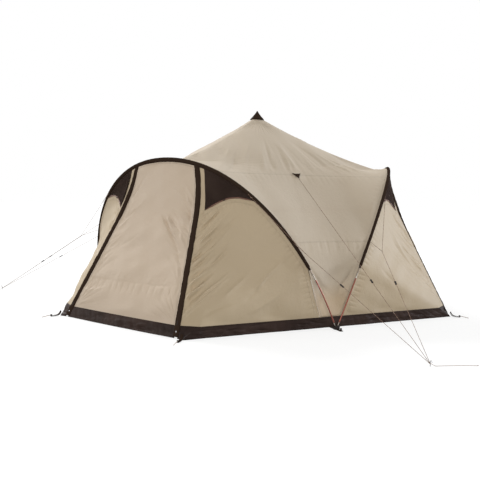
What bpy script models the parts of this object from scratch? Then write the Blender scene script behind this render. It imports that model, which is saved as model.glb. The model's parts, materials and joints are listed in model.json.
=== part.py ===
"""Three-sided pole tent with a hexagonal plan, pitched and closed.

Metres, +Z up. The origin is the flat foot of the centre pole. Side a looks towards -Y, and sides b and c
repeat it every 120 degrees. Corner ab lies between sides a and b, at azimuth -30 degrees.

Two local frames carry the pieces. In a side frame the door looks towards -Y. In a corner frame the corner
points towards +X, so that X is the distance from the centre pole.
"""
import math

import bmesh
import bpy
import numpy as np
from mathutils import Matrix, Vector

SIDES = ("a", "b", "c")
CORNERS = ("ab", "bc", "ca")
TURN = 2 * math.pi / 3
HALF_CORNER = math.pi / 6

# Ground plan
DOOR_DISTANCE = 2.11
DOOR_CORNER_HALF = 0.806
POLE_FOOT_REACH = 0.096
WING_FOOT_HALF = 0.09
WALL_RADIUS = DOOR_CORNER_HALF * math.cos(HALF_CORNER) + DOOR_DISTANCE * math.sin(HALF_CORNER)
FOOT_RADIUS = WALL_RADIUS + POLE_FOOT_REACH

# Cloth and clearances
CLOTH = 0.002
GAP = 0.0004
SEAM_GAP = 0.0007
SKIRT_HEIGHT = 0.10
GROUND_CLEARANCE = 0.0008

# Arch poles and their sleeves
ARCH_HEIGHT = 1.543
ARCH_TOP_DISTANCE = 1.506
ARCH_SHOULDER = (0.9154, 0.5121)
ARCH_CROWN = 0.575
POLE_RADIUS = 0.00625
FERRULE_RADIUS = 0.0052
FERRULE_TOP = 0.51
FERRULE_LENGTH = 0.053
TIP_RADIUS = 0.0035
TIP_LENGTH = 0.040
TIP_END_HEIGHT = 0.022
SLEEVE_RADIUS = 0.014
SLEEVE_WALL = 0.005
SLEEVE_END_HEIGHT = 0.576
SEAM_TURN_HEIGHT = 0.85
SEAT = SLEEVE_RADIUS + GAP

# Zips, flaps and doors
ZIP_TOP_X = 0.40
ZIP_KNEE = (0.508, 0.488 - DOOR_DISTANCE, 0.971)
ZIP_FOOT = (DOOR_CORNER_HALF - 0.084, 0.010 - DOOR_DISTANCE, 0.0)
ZIP_KNEE_REACH = 0.28
FLAP_HALF = 0.026
FLAP_THICKNESS = 0.003
FLAP_FOOT_HEIGHT = 0.012
DOOR_FOOT_HEIGHT = 0.003
DOOR_BULGE_FOOT = 0.010
DOOR_BULGE_TOP = 0.0194
STUD_RADIUS = 0.008
STUD_HEIGHT = 0.045

# Mesh windows
STRIP_WIDTH = 0.050
HEM_INNER_HEIGHT = 1.058
HEM_OUTER_HEIGHT = 1.155
HEM_RISE = 0.070
FOLD_TOP = 0.70
FOLD_FOOT_AT = 0.10
FOLD_SHARPNESS = (60, 4)
FOLD_SOFT_HEIGHT = 0.40

# Roof
ROOF_APEX = 2.125
ROOF_SLOPE = 0.5753
ROOF_SAG = 0.1003
ROOF_HOLE = 0.018
RIDGE_END = 1.42
CONTOUR_JOIN = (1.30, 1.40)
WING_PATCH = (1.061, 1.378)
WING_SHOULDER = (WALL_RADIUS + 0.012, 0.95)
WING_WALL_HEIGHT = 0.50
WING_WALL_LEAN = 0.008

# Centre pole and cap
LOWER_POLE_RADIUS = 0.016
UPPER_POLE_RADIUS = 0.014
POLE_CLEARANCE = 0.0003
LOWER_POLE_TOP = 1.12
UPPER_POLE_FOOT = 0.98
POLE_COLLAR_RADIUS = 0.020
POLE_COLLAR_HEIGHT = 0.045
FOOT_FLANGE_RADIUS = 0.032
FOOT_FLANGE_HEIGHT = 0.012
HEAD_RADIUS = 0.034
HEAD_DEPTH = 0.022
SPIGOT_RADIUS = 0.006
SPIGOT_TOP = ROOF_APEX + 0.025
CAP_RADIUS = 0.078
CAP_TOP = ROOF_APEX + 0.061
CAP_RIM = 0.006

# Guy lines, tensioners, feet and pegs
LINE_RADIUS = 0.00175
PEG_DISTANCE = 3.13
PEG_RADIUS = 0.0035
PEG_HEIGHT = 0.045
PEG_RING_HEIGHT = 0.020
PEG_RING_THICKNESS = 0.0022
TAIL_REACH = {"ab": (0.122, 0.332), "bc": (-0.22, 0.24), "ca": (0.122, 0.332)}
KNOT_RADIUS = 0.004
YOKE = (WALL_RADIUS + 0.209, -0.398, 0.714)
YOKE_LOW_HEIGHT = 0.784
YOKE_HIGH_HEIGHT = 1.22
PATCH_HALF_WIDTH = 0.045
PATCH_HEIGHT = 0.055
PATCH_THICKNESS = 0.0016
PATCH_LIFT = 0.012
TENSIONER_LENGTH = 0.044
TENSIONER_WIDTH = 0.015
TENSIONER_DEPTH = 0.009
TENSIONER_WAIST = 0.009
LINE_CLEARANCE = 0.0005
TENSIONERS_AT = {"ab": (0.637, 0.333, 0.333), "bc": (0.66, 0.37, 0.38), "ca": (0.70, 0.444, 0.468)}
FOOT_BLOCK = (0.044, 0.058, 0.036)
FOOT_STRAP = (0.190, 0.032, 0.005)
KNOB_RADIUS = 0.011
KNOB_HEIGHT = 0.026
LOOP_STRAP = (0.110, 0.026, 0.004)
LOOP_KNOB_RADIUS = 0.009
LOOP_KNOB_HEIGHT = 0.022

# Zip sliders
SLIDER_LENGTH = 0.022
SLIDER_WIDTH = 0.012
SLIDER_DEPTH = 0.006
SLIDER_REST_HEIGHT = 0.13
PULL_LENGTH = 0.030
PULL_WIDTH = 0.007
PULL_THICKNESS = 0.002


# Geometry helpers

def vec(*values):
    return np.array(values, dtype=float)


def unit(direction):
    return direction / np.linalg.norm(direction)


def mix(start, end, share):
    return start + (end - start) * share


def bezier(controls, t):
    """Point or points of a Bezier curve of any degree."""
    t = np.asarray(t, dtype=float)[..., None]
    level = [np.asarray(c, dtype=float) + 0 * t for c in controls]
    while len(level) > 1:
        level = [a + (b - a) * t for a, b in zip(level, level[1:])]
    return level[0]


def side_to_corner(point):
    c, s = math.cos(HALF_CORNER), math.sin(HALF_CORNER)
    return vec(point[0] * c - point[1] * s, point[0] * s + point[1] * c, point[2])


def corner_to_side(point):
    c, s = math.cos(HALF_CORNER), math.sin(HALF_CORNER)
    return vec(point[0] * c + point[1] * s, -point[0] * s + point[1] * c, point[2])


def mirror_y(point):
    return point * vec(1, -1, 1)


def beside(point, tangent, towards, distance):
    """A point at a distance from a pole's axis, on the side of another point."""
    direction = towards - point
    direction = direction - tangent * np.dot(direction, tangent)
    return point + unit(direction) * distance


# The arch: half a bent pole as one Bezier curve, in a plane that leans outwards

ARCH_HALF = FOOT_RADIUS * math.cos(HALF_CORNER)
ARCH_FOOT_Y = FOOT_RADIUS * math.sin(HALF_CORNER)
ARCH_OUTLINE = bezier([(1, 0), ARCH_SHOULDER, (ARCH_CROWN, 1), (0, 1)], np.linspace(0, 1, 801))
ARCH_TABLE = np.column_stack([
    ARCH_OUTLINE[:, 0] * ARCH_HALF,
    -mix(ARCH_FOOT_Y, ARCH_TOP_DISTANCE, ARCH_OUTLINE[:, 1]),
    ARCH_OUTLINE[:, 1] * ARCH_HEIGHT,
])


def arch_at_height(height):
    return vec(*(np.interp(height, ARCH_TABLE[:, 2], ARCH_TABLE[:, i]) for i in range(3)))


def arch_at_x(x):
    table = ARCH_TABLE[::-1]
    return vec(*(np.interp(x, table[:, 0], table[:, i]) for i in range(3)))


def arch_tangent(point):
    step = 0.01
    if point[2] < 0.9 * ARCH_HEIGHT:
        low = arch_at_height(max(point[2] - step, 0))
        return unit(arch_at_height(point[2] + step) - low)
    return unit(arch_at_x(max(point[0] - step, 0)) * vec(1, 1, 1) - arch_at_x(point[0] + step))


def arch_run(start, end, count):
    """Points spread evenly along the arch between two of its points."""
    lengths = np.concatenate([[0], np.cumsum(np.linalg.norm(np.diff(ARCH_TABLE, axis=0), axis=1))])
    at = [np.interp(p[2], ARCH_TABLE[:, 2], lengths) for p in (start, end)]
    spread = np.linspace(at[0], at[1], count + 1)
    return [vec(*(np.interp(s, lengths, ARCH_TABLE[:, i]) for i in range(3))) for s in spread]


DOOR_NODES = [arch_at_x(x) for x in np.linspace(0, ZIP_TOP_X - FLAP_HALF, 3)]
FLAP_OUTER_NODE = arch_at_x(ZIP_TOP_X + FLAP_HALF)
STRIP_NODE = arch_at_x(ZIP_TOP_X + FLAP_HALF + STRIP_WIDTH)
HEM_NODE = arch_at_height(HEM_OUTER_HEIGHT)
WALL_SHARES = (0.0, FOLD_FOOT_AT, 0.28, 0.46, 0.64, 0.82, 1.0)
SLEEVE_END = arch_at_height(SLEEVE_END_HEIGHT)
MESH_NODES = arch_run(STRIP_NODE, HEM_NODE, len(WALL_SHARES) - 1)
LEG_NODES = arch_run(HEM_NODE, SLEEVE_END, 3)
ARCH_NODES = DOOR_NODES + [FLAP_OUTER_NODE] + MESH_NODES + LEG_NODES[1:]


# The zip line: straight up to the knee, then curving steeper to the arch

ZIP_TOP = arch_at_x(ZIP_TOP_X)
ZIP_DIRECTION = unit(vec(*ZIP_KNEE) - vec(*ZIP_FOOT))
ZIP_CURVE = bezier(
    [ZIP_KNEE, vec(*ZIP_KNEE) + ZIP_DIRECTION * ZIP_KNEE_REACH, ZIP_TOP], np.linspace(0, 1, 201)
)


def zip_at(height):
    if height <= ZIP_KNEE[2]:
        return mix(vec(*ZIP_FOOT), vec(*ZIP_KNEE), height / ZIP_KNEE[2])
    return vec(*(np.interp(height, ZIP_CURVE[:, 2], ZIP_CURVE[:, i]) for i in range(3)))


def door_bulge(height):
    return mix(DOOR_BULGE_FOOT, DOOR_BULGE_TOP, height / ZIP_TOP[2])


def door_side(height):
    """Direction in which the door leaves the zip."""
    return unit(vec(-1, -2 * door_bulge(height) / zip_at(height)[0], 0))


def flap_edge(height, beyond=0.0):
    """The flap's outer edge: the flap lies flat on the door's side of the zip and beyond it."""
    return zip_at(height) - door_side(height) * (FLAP_HALF + beyond)


ZIP_LEVELS = [SKIRT_HEIGHT, 0.40, 0.70, ZIP_KNEE[2]]
STRIP_LEVELS = list(np.linspace(HEM_INNER_HEIGHT, ZIP_TOP[2], 5))[:-1]


# The wall beside the zip: zip, window strip, a fold from the door corner to the arch leg, corner seam

DOOR_CORNER = vec(DOOR_CORNER_HALF, -DOOR_DISTANCE, 0)
INWARD = corner_to_side(vec(-1, 0, 0))
ALONG_WALL = corner_to_side(vec(0, -1, 0))


def turned_in(point, towards, shift):
    """The edge of a cloth beside the arch leg; near the sleeve's end it turns in behind the pole."""
    tangent = arch_tangent(point)
    share = np.clip((SEAM_TURN_HEIGHT - point[2]) / (SEAM_TURN_HEIGHT - SLEEVE_END_HEIGHT), 0, 1)
    direction = towards - point
    direction = unit(direction - tangent * np.dot(direction, tangent))
    inward = unit(INWARD - tangent * np.dot(INWARD, tangent))
    direction = unit(mix(direction, inward, share))
    return point + direction * (SEAT + 2.5 * CLOTH * share) + shift * SEAM_GAP * share


def seam_foot(shift):
    return corner_to_side(vec(WALL_RADIUS, -WING_FOOT_HALF, 0)) + shift * SEAM_GAP


def leg_edge(height, towards, shift):
    """Edge of a cloth along the arch leg, and below the sleeve along the corner seam."""
    if height >= SLEEVE_END_HEIGHT:
        return turned_in(arch_at_height(height), towards, shift)
    top = turned_in(SLEEVE_END, towards, shift)
    return mix(seam_foot(shift), top, height / top[2])


def wall_edge(height):
    level = max(height, SLEEVE_END_HEIGHT)
    point = leg_edge(height, zip_at(level), ALONG_WALL)
    return point


def fold_at(height):
    """The fold that the door corner's peg draws up to the arch leg, and the leg above it."""
    if height >= FOLD_TOP:
        return arch_at_height(height)
    return mix(DOOR_CORNER, wall_edge(FOLD_TOP), height / FOLD_TOP)


def zip_side(height):
    """Direction in which the wall leaves the flap."""
    return unit((fold_at(min(height, 1.40)) - flap_edge(height)) * vec(1, 1, 0))


def strip_edge(height, share):
    return flap_edge(height, SEAM_GAP) + zip_side(height) * STRIP_WIDTH * share


def wall_point(share, height):
    """The wall between the window strip (share 0) and the arch leg (share 1)."""
    near, far = strip_edge(height, 1), wall_edge(height)
    point = mix(near, far, share)
    if height >= FOLD_TOP or share in (0, 1):
        return point
    fold = fold_at(height)
    reach = [np.linalg.norm((fold - end)[:2]) for end in (near, far)]
    at = max(FOLD_FOOT_AT, reach[0] / sum(reach))
    bulge = (fold - mix(near, far, at)) * vec(1, 1, 0)
    sharpness = mix(*FOLD_SHARPNESS, min(height / FOLD_SOFT_HEIGHT, 1))
    flanks = np.array([share / at, (1 - share) / (1 - at)])
    return point + bulge * (flanks ** -sharpness).sum() ** (-1 / sharpness)


def hem_height(share):
    return mix(HEM_INNER_HEIGHT, HEM_OUTER_HEIGHT, share) + 4 * HEM_RISE * share * (1 - share)


# The roof: contour lines from the ridge or the arch leg over the middle of the wing

WING_UPPER = [(0, ROOF_APEX), (0.38, 1.885), (0.76, 1.665), WING_PATCH]
WING_FALL = unit(vec(1, -0.93))
WING_WALL = (WALL_RADIUS - WING_WALL_LEAN, WING_WALL_HEIGHT)
WING_LOWER = [WING_PATCH, vec(*WING_PATCH) + WING_FALL * 0.41, WING_SHOULDER, WING_WALL]
WING_LINE = np.vstack([
    bezier(WING_UPPER, np.linspace(0, 1, 101)),
    bezier(WING_LOWER, np.linspace(0, 1, 101))[1:],
    [(WALL_RADIUS, 0)],
])[::-1]


def roof_height(radius):
    return ROOF_APEX - ROOF_SLOPE * radius + ROOF_SAG * radius ** 2


def wing_at(height):
    return vec(np.interp(height, WING_LINE[:, 1], WING_LINE[:, 0]), 0, height)


def contour(edge, middle, columns):
    """A symmetric cross line of the roof panel, from one edge over the middle to the other."""
    line = []
    for q in np.linspace(-1, 1, columns + 1):
        share = abs(q) ** 2
        line.append(vec(mix(middle[0], edge[0], share), -q * edge[1], mix(middle[2], edge[2], share)))
    return line


# Scene helpers

def clear_scene():
    for obj in list(bpy.data.objects):
        bpy.data.objects.remove(obj, do_unlink=True)
    for collection in list(bpy.data.collections):
        bpy.data.collections.remove(collection)


def new_collection(name):
    collection = bpy.data.collections.new(name)
    bpy.context.scene.collection.children.link(collection)
    return collection


def material(name, colour, roughness, metallic=0.0):
    mat = bpy.data.materials.new(name)
    mat.use_nodes = True
    shader = mat.node_tree.nodes["Principled BSDF"]
    shader.inputs["Base Color"].default_value = (*colour, 1.0)
    shader.inputs["Roughness"].default_value = roughness
    shader.inputs["Metallic"].default_value = metallic
    mat.diffuse_color = (*colour, 1.0)
    return mat


clear_scene()
PARTS = new_collection("pole_tent")
HELPERS = new_collection("cutters")
MATERIALS = {
    "roof_cloth": material("roof_cloth", (0.55, 0.49, 0.40), 0.85),
    "door_cloth": material("door_cloth", (0.52, 0.43, 0.33), 0.85),
    "wall_cloth": material("wall_cloth", (0.42, 0.36, 0.25), 0.85),
    "dark_cloth": material("dark_cloth", (0.045, 0.032, 0.028), 0.8),
    "mesh": material("mesh", (0.030, 0.020, 0.020), 0.9),
    "red_tube": material("red_tube", (0.36, 0.10, 0.07), 0.35, 0.7),
    "steel": material("steel", (0.60, 0.60, 0.60), 0.35, 1.0),
    "line": material("line", (0.25, 0.13, 0.09), 0.8),
    "black_plastic": material("black_plastic", (0.012, 0.012, 0.012), 0.45),
}


def new_object(name, mesh, collection):
    obj = bpy.data.objects.new(name, mesh)
    collection.objects.link(obj)
    return obj


def mesh_from(name, build):
    """A mesh filled by a function that takes a bmesh."""
    mesh = bpy.data.meshes.new(name)
    bm = bmesh.new()
    build(bm)
    bm.to_mesh(mesh)
    bm.free()
    return mesh


def baked(name, mesh, modifiers):
    """The mesh with modifiers applied, such as Solidify or a Boolean."""
    obj = new_object(name, mesh, HELPERS)
    for kind, settings in modifiers:
        modifier = obj.modifiers.new(kind.title(), kind)
        for key, value in settings.items():
            setattr(modifier, key, value)
    bpy.context.view_layer.update()
    evaluated = obj.evaluated_get(bpy.context.evaluated_depsgraph_get())
    result = bpy.data.meshes.new_from_object(evaluated)
    result.name = name
    bpy.data.objects.remove(obj, do_unlink=True)
    bm = bmesh.new()
    bm.from_mesh(result)
    bmesh.ops.recalc_face_normals(bm, faces=bm.faces)
    if bm.calc_volume(signed=True) < 0:
        bmesh.ops.reverse_faces(bm, faces=bm.faces)
    bm.to_mesh(result)
    bm.free()
    return result


def sheet(name, grids, thickness=CLOTH):
    """A cloth: one or more grids of points, joined where they share points, then thickened."""
    def build(bm):
        for rows in grids:
            verts = [[bm.verts.new(point) for point in row] for row in rows]
            for lower, upper in zip(verts, verts[1:]):
                for i in range(len(lower) - 1):
                    bm.faces.new((lower[i], lower[i + 1], upper[i + 1], upper[i]))
        bmesh.ops.remove_doubles(bm, verts=bm.verts, dist=1e-5)
        bmesh.ops.triangulate(bm, faces=bm.faces)
        bmesh.ops.recalc_face_normals(bm, faces=bm.faces)
    solidify = {"thickness": thickness, "offset": 0.0}
    return baked(name, mesh_from(name, build), [("SOLIDIFY", solidify)])


def tube(name, points, radius, radii=None, caps=True, wall=None, closed=False, sides=8):
    """A round rod or open tube along points, from a bevelled poly curve."""
    curve = bpy.data.curves.new(name, "CURVE")
    curve.dimensions = "3D"
    curve.bevel_depth = radius
    curve.bevel_resolution = sides // 2 - 2
    curve.use_fill_caps = caps and not closed
    spline = curve.splines.new("POLY")
    spline.use_cyclic_u = closed
    spline.points.add(len(points) - 1)
    for i, point in enumerate(points):
        spline.points[i].co = (*point, 1)
        spline.points[i].radius = radii[i] / radius if radii else 1
    obj = new_object(name, curve, HELPERS)
    bpy.context.view_layer.update()
    evaluated = obj.evaluated_get(bpy.context.evaluated_depsgraph_get())
    mesh = bpy.data.meshes.new_from_object(evaluated)
    bpy.data.objects.remove(obj, do_unlink=True)
    bm = bmesh.new()
    bm.from_mesh(mesh)
    bmesh.ops.remove_doubles(bm, verts=bm.verts, dist=1e-6)
    bm.to_mesh(mesh)
    bm.free()
    if wall:
        return baked(name, mesh, [("SOLIDIFY", {"thickness": wall, "offset": -1.0})])
    return mesh


def turned(name, profile, steps=20):
    """A solid of revolution from a profile of radius and height, listed from top to bottom."""
    def build(bm):
        verts = [bm.verts.new((r, 0, z)) for r, z in profile]
        for a, b in zip(verts, verts[1:]):
            bm.edges.new((a, b))
    screw = {
        "axis": "Z", "angle": 2 * math.pi, "steps": steps, "render_steps": steps,
        "use_merge_vertices": True, "merge_threshold": 1e-5,
    }
    return baked(name, mesh_from(name, build), [("SCREW", screw)])


def box(name, size, centre, bevel=0.0, turn=None):
    def build(bm):
        bmesh.ops.create_cube(bm, size=1.0)
        bmesh.ops.scale(bm, vec=size, verts=bm.verts)
        if turn:
            bmesh.ops.rotate(bm, cent=(0, 0, 0), matrix=turn, verts=bm.verts)
        bmesh.ops.translate(bm, vec=centre, verts=bm.verts)
    mesh = mesh_from(name, build)
    if bevel:
        return baked(name, mesh, [("BEVEL", {"width": bevel, "segments": 1})])
    return mesh


def cylinder(name, radius, low, high, sides=16, top_radius=None):
    """A cylinder or cone between two points."""
    axis = Vector(high) - Vector(low)
    turn = axis.to_track_quat("Z", "Y").to_matrix().to_4x4()
    place = Matrix.Translation((Vector(low) + Vector(high)) / 2) @ turn

    def build(bm):
        bmesh.ops.create_cone(
            bm, cap_ends=True, segments=sides, radius1=radius,
            radius2=radius if top_radius is None else top_radius, depth=axis.length, matrix=place,
        )
    return mesh_from(name, build)


def sphere(name, radius, centre):
    def build(bm):
        place = Matrix.Translation(Vector(centre))
        bmesh.ops.create_uvsphere(bm, u_segments=6, v_segments=4, radius=radius, matrix=place)
    return mesh_from(name, build)


def combined(name, base, joined=(), cut=()):
    """The base mesh with other meshes joined to it and cut from it."""
    helpers = []
    modifiers = []
    for operation, meshes in (("UNION", joined), ("DIFFERENCE", cut)):
        for mesh in meshes:
            helper = new_object(name + "_" + operation.lower(), mesh, HELPERS)
            helper.hide_render = True
            helper.display_type = "WIRE"
            helpers.append(helper)
            settings = {"operation": operation, "solver": "EXACT", "object": helper}
            modifiers.append(("BOOLEAN", settings))
    result = baked(name, base, modifiers)
    for helper in helpers:
        bpy.data.objects.remove(helper, do_unlink=True)
    return result


def flipped(mesh):
    """The mirror image in the side frame's YZ plane."""
    copy = mesh.copy()
    bm = bmesh.new()
    bm.from_mesh(copy)
    bmesh.ops.scale(bm, vec=(-1, 1, 1), verts=bm.verts)
    bmesh.ops.reverse_faces(bm, faces=bm.faces)
    bm.to_mesh(copy)
    bm.free()
    return copy


def frame_empty(name, angle):
    empty = bpy.data.objects.new(name, None)
    empty.rotation_euler.z = angle
    PARTS.objects.link(empty)
    return empty


SIDE_FRAMES = {side: frame_empty("side_" + side, k * TURN) for k, side in enumerate(SIDES)}
CORNER_FRAMES = {
    corner: frame_empty("corner_" + corner, k * TURN - HALF_CORNER) for k, corner in enumerate(CORNERS)
}


def place(name, mesh, surface, parent=None, location=(0, 0, 0), rotation=None):
    obj = new_object(name, mesh, PARTS)
    obj.parent = parent
    if rotation is not None:
        obj.rotation_euler = rotation.to_euler()
    obj.location = location
    if not mesh.materials:
        mesh.materials.append(MATERIALS[surface])
        mesh.shade_smooth()
        mesh.set_sharp_from_angle(angle=math.radians(35))
    return obj


def on_every_side(name, mesh, surface, location=(0, 0, 0)):
    for side in SIDES:
        place(name + "_" + side, mesh, surface, SIDE_FRAMES[side], location)


def on_both_hands(name, mesh, surface):
    for hand, copy in (("right", mesh), ("left", flipped(mesh))):
        for side in SIDES:
            place(name + "_" + side + "_" + hand, copy, surface, SIDE_FRAMES[side])


def on_every_corner(name, mesh, surface, **placing):
    for corner in CORNERS:
        place(name.format(corner), mesh, surface, CORNER_FRAMES[corner], **placing)


# Centre pole and apex cap

def centre_pole():
    bore = UPPER_POLE_RADIUS + POLE_CLEARANCE
    collar_foot = LOWER_POLE_TOP - POLE_COLLAR_HEIGHT
    lower = turned("centre_pole_lower", [
        (0, UPPER_POLE_FOOT - POLE_CLEARANCE), (bore, UPPER_POLE_FOOT - POLE_CLEARANCE),
        (bore, LOWER_POLE_TOP), (POLE_COLLAR_RADIUS - 0.002, LOWER_POLE_TOP),
        (POLE_COLLAR_RADIUS, LOWER_POLE_TOP - 0.002), (POLE_COLLAR_RADIUS, collar_foot),
        (LOWER_POLE_RADIUS, collar_foot - 0.004), (LOWER_POLE_RADIUS, 0.05),
        (LOWER_POLE_RADIUS + 0.003, 0.03), (FOOT_FLANGE_RADIUS, FOOT_FLANGE_HEIGHT),
        (FOOT_FLANGE_RADIUS, 0.002), (FOOT_FLANGE_RADIUS - 0.002, 0), (0, 0),
    ])
    place("centre_pole_lower", lower, "steel")

    under = CLOTH / 2 + GAP + 0.0003
    head_top = roof_height(HEAD_RADIUS) - under - 0.0014
    upper = turned("centre_pole_upper", [
        (0, SPIGOT_TOP), (SPIGOT_RADIUS - 0.001, SPIGOT_TOP), (SPIGOT_RADIUS, SPIGOT_TOP - 0.001),
        (SPIGOT_RADIUS, roof_height(SPIGOT_RADIUS) - under), (HEAD_RADIUS, head_top),
        (HEAD_RADIUS, head_top - 0.008), (UPPER_POLE_RADIUS, head_top - HEAD_DEPTH),
        (UPPER_POLE_RADIUS, UPPER_POLE_FOOT + 0.001), (UPPER_POLE_RADIUS - 0.001, UPPER_POLE_FOOT),
        (0, UPPER_POLE_FOOT),
    ])
    place("centre_pole_upper", upper, "steel")


def apex_cap():
    """A cloth hood over the apex, held by the spigot."""
    over = CLOTH / 2 + GAP + 0.0012
    bore = SPIGOT_RADIUS + GAP
    rim = roof_height(CAP_RADIUS) + over
    outer = bezier([(0.004, CAP_TOP), (0.030, CAP_TOP - 0.045), (CAP_RADIUS, rim + CAP_RIM)],
                   np.linspace(0, 1, 6))
    cap = turned("apex_cap", [
        (0, CAP_TOP), *[tuple(p) for p in outer], (CAP_RADIUS, rim),
        (ROOF_HOLE, roof_height(ROOF_HOLE) + over), (bore, roof_height(bore) + over),
        (bore, SPIGOT_TOP + GAP), (0, SPIGOT_TOP + GAP),
    ], steps=18)
    place("apex_cap", cap, "dark_cloth")


# Arch poles in their sleeves

def mirrored_run(points):
    """A run from the top to the right foot, continued on the left."""
    left = [point * vec(-1, 1, 1) for point in points[:0:-1]]
    return left + list(points)


def arch_poles():
    end = arch_at_height(TIP_END_HEIGHT)
    down = unit(end - arch_at_height(TIP_END_HEIGHT + 0.05))
    step = 0.0008
    stations = [
        (FERRULE_TOP + step, POLE_RADIUS), (FERRULE_TOP, FERRULE_RADIUS),
        (FERRULE_TOP - FERRULE_LENGTH, FERRULE_RADIUS),
        (FERRULE_TOP - FERRULE_LENGTH - step, POLE_RADIUS), (0.30, POLE_RADIUS), (0.16, POLE_RADIUS),
        (TIP_END_HEIGHT + TIP_LENGTH, POLE_RADIUS), (TIP_END_HEIGHT + TIP_LENGTH - step, TIP_RADIUS),
        (TIP_END_HEIGHT, TIP_RADIUS),
    ]
    points = ARCH_NODES + [arch_at_height(height) for height, _ in stations]
    radii = [POLE_RADIUS] * len(ARCH_NODES) + [radius for _, radius in stations]
    run, full = mirrored_run(points), radii[:0:-1] + radii
    pole = tube("arch_pole", run, POLE_RADIUS, radii=full)
    on_every_side("arch_pole", pole, "red_tube")
    sleeve = tube("arch_sleeve", mirrored_run(ARCH_NODES), SLEEVE_RADIUS, caps=False, wall=SLEEVE_WALL)
    on_every_side("arch_sleeve", sleeve, "dark_cloth")
    return end, down


# Doors

def door_point(q, height):
    edge = zip_at(height) + door_side(height) * (FLAP_HALF + SEAM_GAP)
    return vec(q * edge[0], edge[1] - door_bulge(height) * (1 - q * q), height)


def door_top():
    """The door's top edge, seated under the sleeve."""
    edge = []
    for node in DOOR_NODES:
        q = node[0] / DOOR_NODES[-1][0]
        edge.append(beside(node, arch_tangent(node), door_point(q, node[2] - 0.12), SEAT))
    return mirrored_run(edge)


def doors():
    top = door_top()
    side_top = top[-1][2]
    levels = [DOOR_FOOT_HEIGHT] + ZIP_LEVELS + STRIP_LEVELS
    rows = []
    for level in levels:
        rise = ((level - DOOR_FOOT_HEIGHT) / (side_top - DOOR_FOOT_HEIGHT)) ** 2
        row = []
        for point in top:
            q = point[0] / top[-1][0]
            at = door_point(q, level)
            at[2] += (point[2] - side_top) * rise
            row.append(at)
        rows.append(row)
    rows.append(top)
    middle = top[len(top) // 2]
    hinge = vec(0, middle[1] - CLOTH / 2, middle[2])
    rows = [[point - hinge for point in row] for row in rows]
    on_every_side("door", sheet("door", [rows]), "door_cloth", location=hinge)
    return hinge


# Zip flaps, window strips, walls, windows

def flap_row(level):
    return [zip_at(level) + door_side(level) * FLAP_HALF, flap_edge(level)]


def under_sleeve(node, extra=0.0):
    return beside(node, arch_tangent(node), node + ZIP_CURVE[0] - ZIP_TOP, SEAT + extra)


def zip_flaps():
    rows = [flap_row(level) for level in [FLAP_FOOT_HEIGHT] + ZIP_LEVELS + STRIP_LEVELS]
    top = [under_sleeve(DOOR_NODES[-1], 0.001), under_sleeve(FLAP_OUTER_NODE, 0.001)]
    top[0] = top[0] + vec(SEAM_GAP, 0, 0)
    rows.append(top)
    flap = sheet("zip_flap", [rows], thickness=FLAP_THICKNESS)
    stud_at = zip_at(STUD_HEIGHT)
    out = unit(np.cross(ZIP_DIRECTION, door_side(STUD_HEIGHT)))
    out = out if out[1] < 0 else -out
    stud = cylinder("stud", STUD_RADIUS, stud_at, stud_at + out * 0.004, sides=10, top_radius=0.005)
    flap = combined("zip_flap", flap, joined=[stud])
    on_both_hands("zip_flap", flap, "dark_cloth")


WALL_LEVELS = [SKIRT_HEIGHT, 0.22, 0.34, 0.46, SLEEVE_END_HEIGHT] + [p[2] for p in LEG_NODES[-2::-1]]


def side_panels():
    rows = []
    for level in WALL_LEVELS:
        share_up = (level - SKIRT_HEIGHT) / (WALL_LEVELS[-1] - SKIRT_HEIGHT)
        inner = mix(SKIRT_HEIGHT, HEM_INNER_HEIGHT, share_up)
        row = [strip_edge(inner, 0)]
        for share in WALL_SHARES:
            height = level if share == 1 else mix(SKIRT_HEIGHT, hem_height(share), share_up)
            row.append(wall_point(share, height))
        rows.append(row)
    strip = [[strip_edge(level, 0), strip_edge(level, 1)] for level in STRIP_LEVELS]
    strip[0] = rows[-1][:2]
    strip.append([under_sleeve(FLAP_OUTER_NODE), under_sleeve(STRIP_NODE)])
    strip[-1][0] = strip[-1][0] + zip_side(ZIP_TOP[2]) * SEAM_GAP
    on_both_hands("side_panel", sheet("side_panel", [rows, strip]), "wall_cloth")


def vent_meshes():
    """A window between the strip, the sleeve and the curved hem."""
    tip_node = arch_at_height(HEM_OUTER_HEIGHT + 0.008)
    nodes = MESH_NODES[:-1] + [tip_node]
    lift = vec(0, 0, SEAM_GAP * 1.5)
    shares = WALL_SHARES
    lower = [wall_point(share, hem_height(share)) + lift for share in shares[:-1]]
    upper = [beside(node, arch_tangent(node), wall_point(s, hem_height(s)), SEAT + 0.0006)
             for node, s in zip(nodes[:-1], shares)]
    tip = beside(tip_node, arch_tangent(tip_node), wall_point(0.8, hem_height(0.8)), SEAT + 0.0006)
    shift = zip_side(HEM_INNER_HEIGHT) * SEAM_GAP
    lower[0] = lower[0] + shift
    upper[0] = under_sleeve(STRIP_NODE) + zip_side(ZIP_TOP[2]) * SEAM_GAP
    rows = []
    for level in STRIP_LEVELS + [ZIP_TOP[2]]:
        up = (level - STRIP_LEVELS[0]) / (ZIP_TOP[2] - STRIP_LEVELS[0])
        row = [mix(a, b, up) for a, b in zip(lower, upper)] + [tip]
        if 0 < up < 1:
            row[0] = strip_edge(level, 1) + zip_side(level) * SEAM_GAP
        rows.append(row)
    on_both_hands("vent_mesh", sheet("vent_mesh", [rows]), "mesh")


# Roof panels and skirts, in the corner frame

def roof_edge_height(share):
    """Height of the middle of a contour, between the last ridge point and the arch leg below."""
    return mix(roof_height(CONTOUR_JOIN[0]), CONTOUR_JOIN[1], share)


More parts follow.
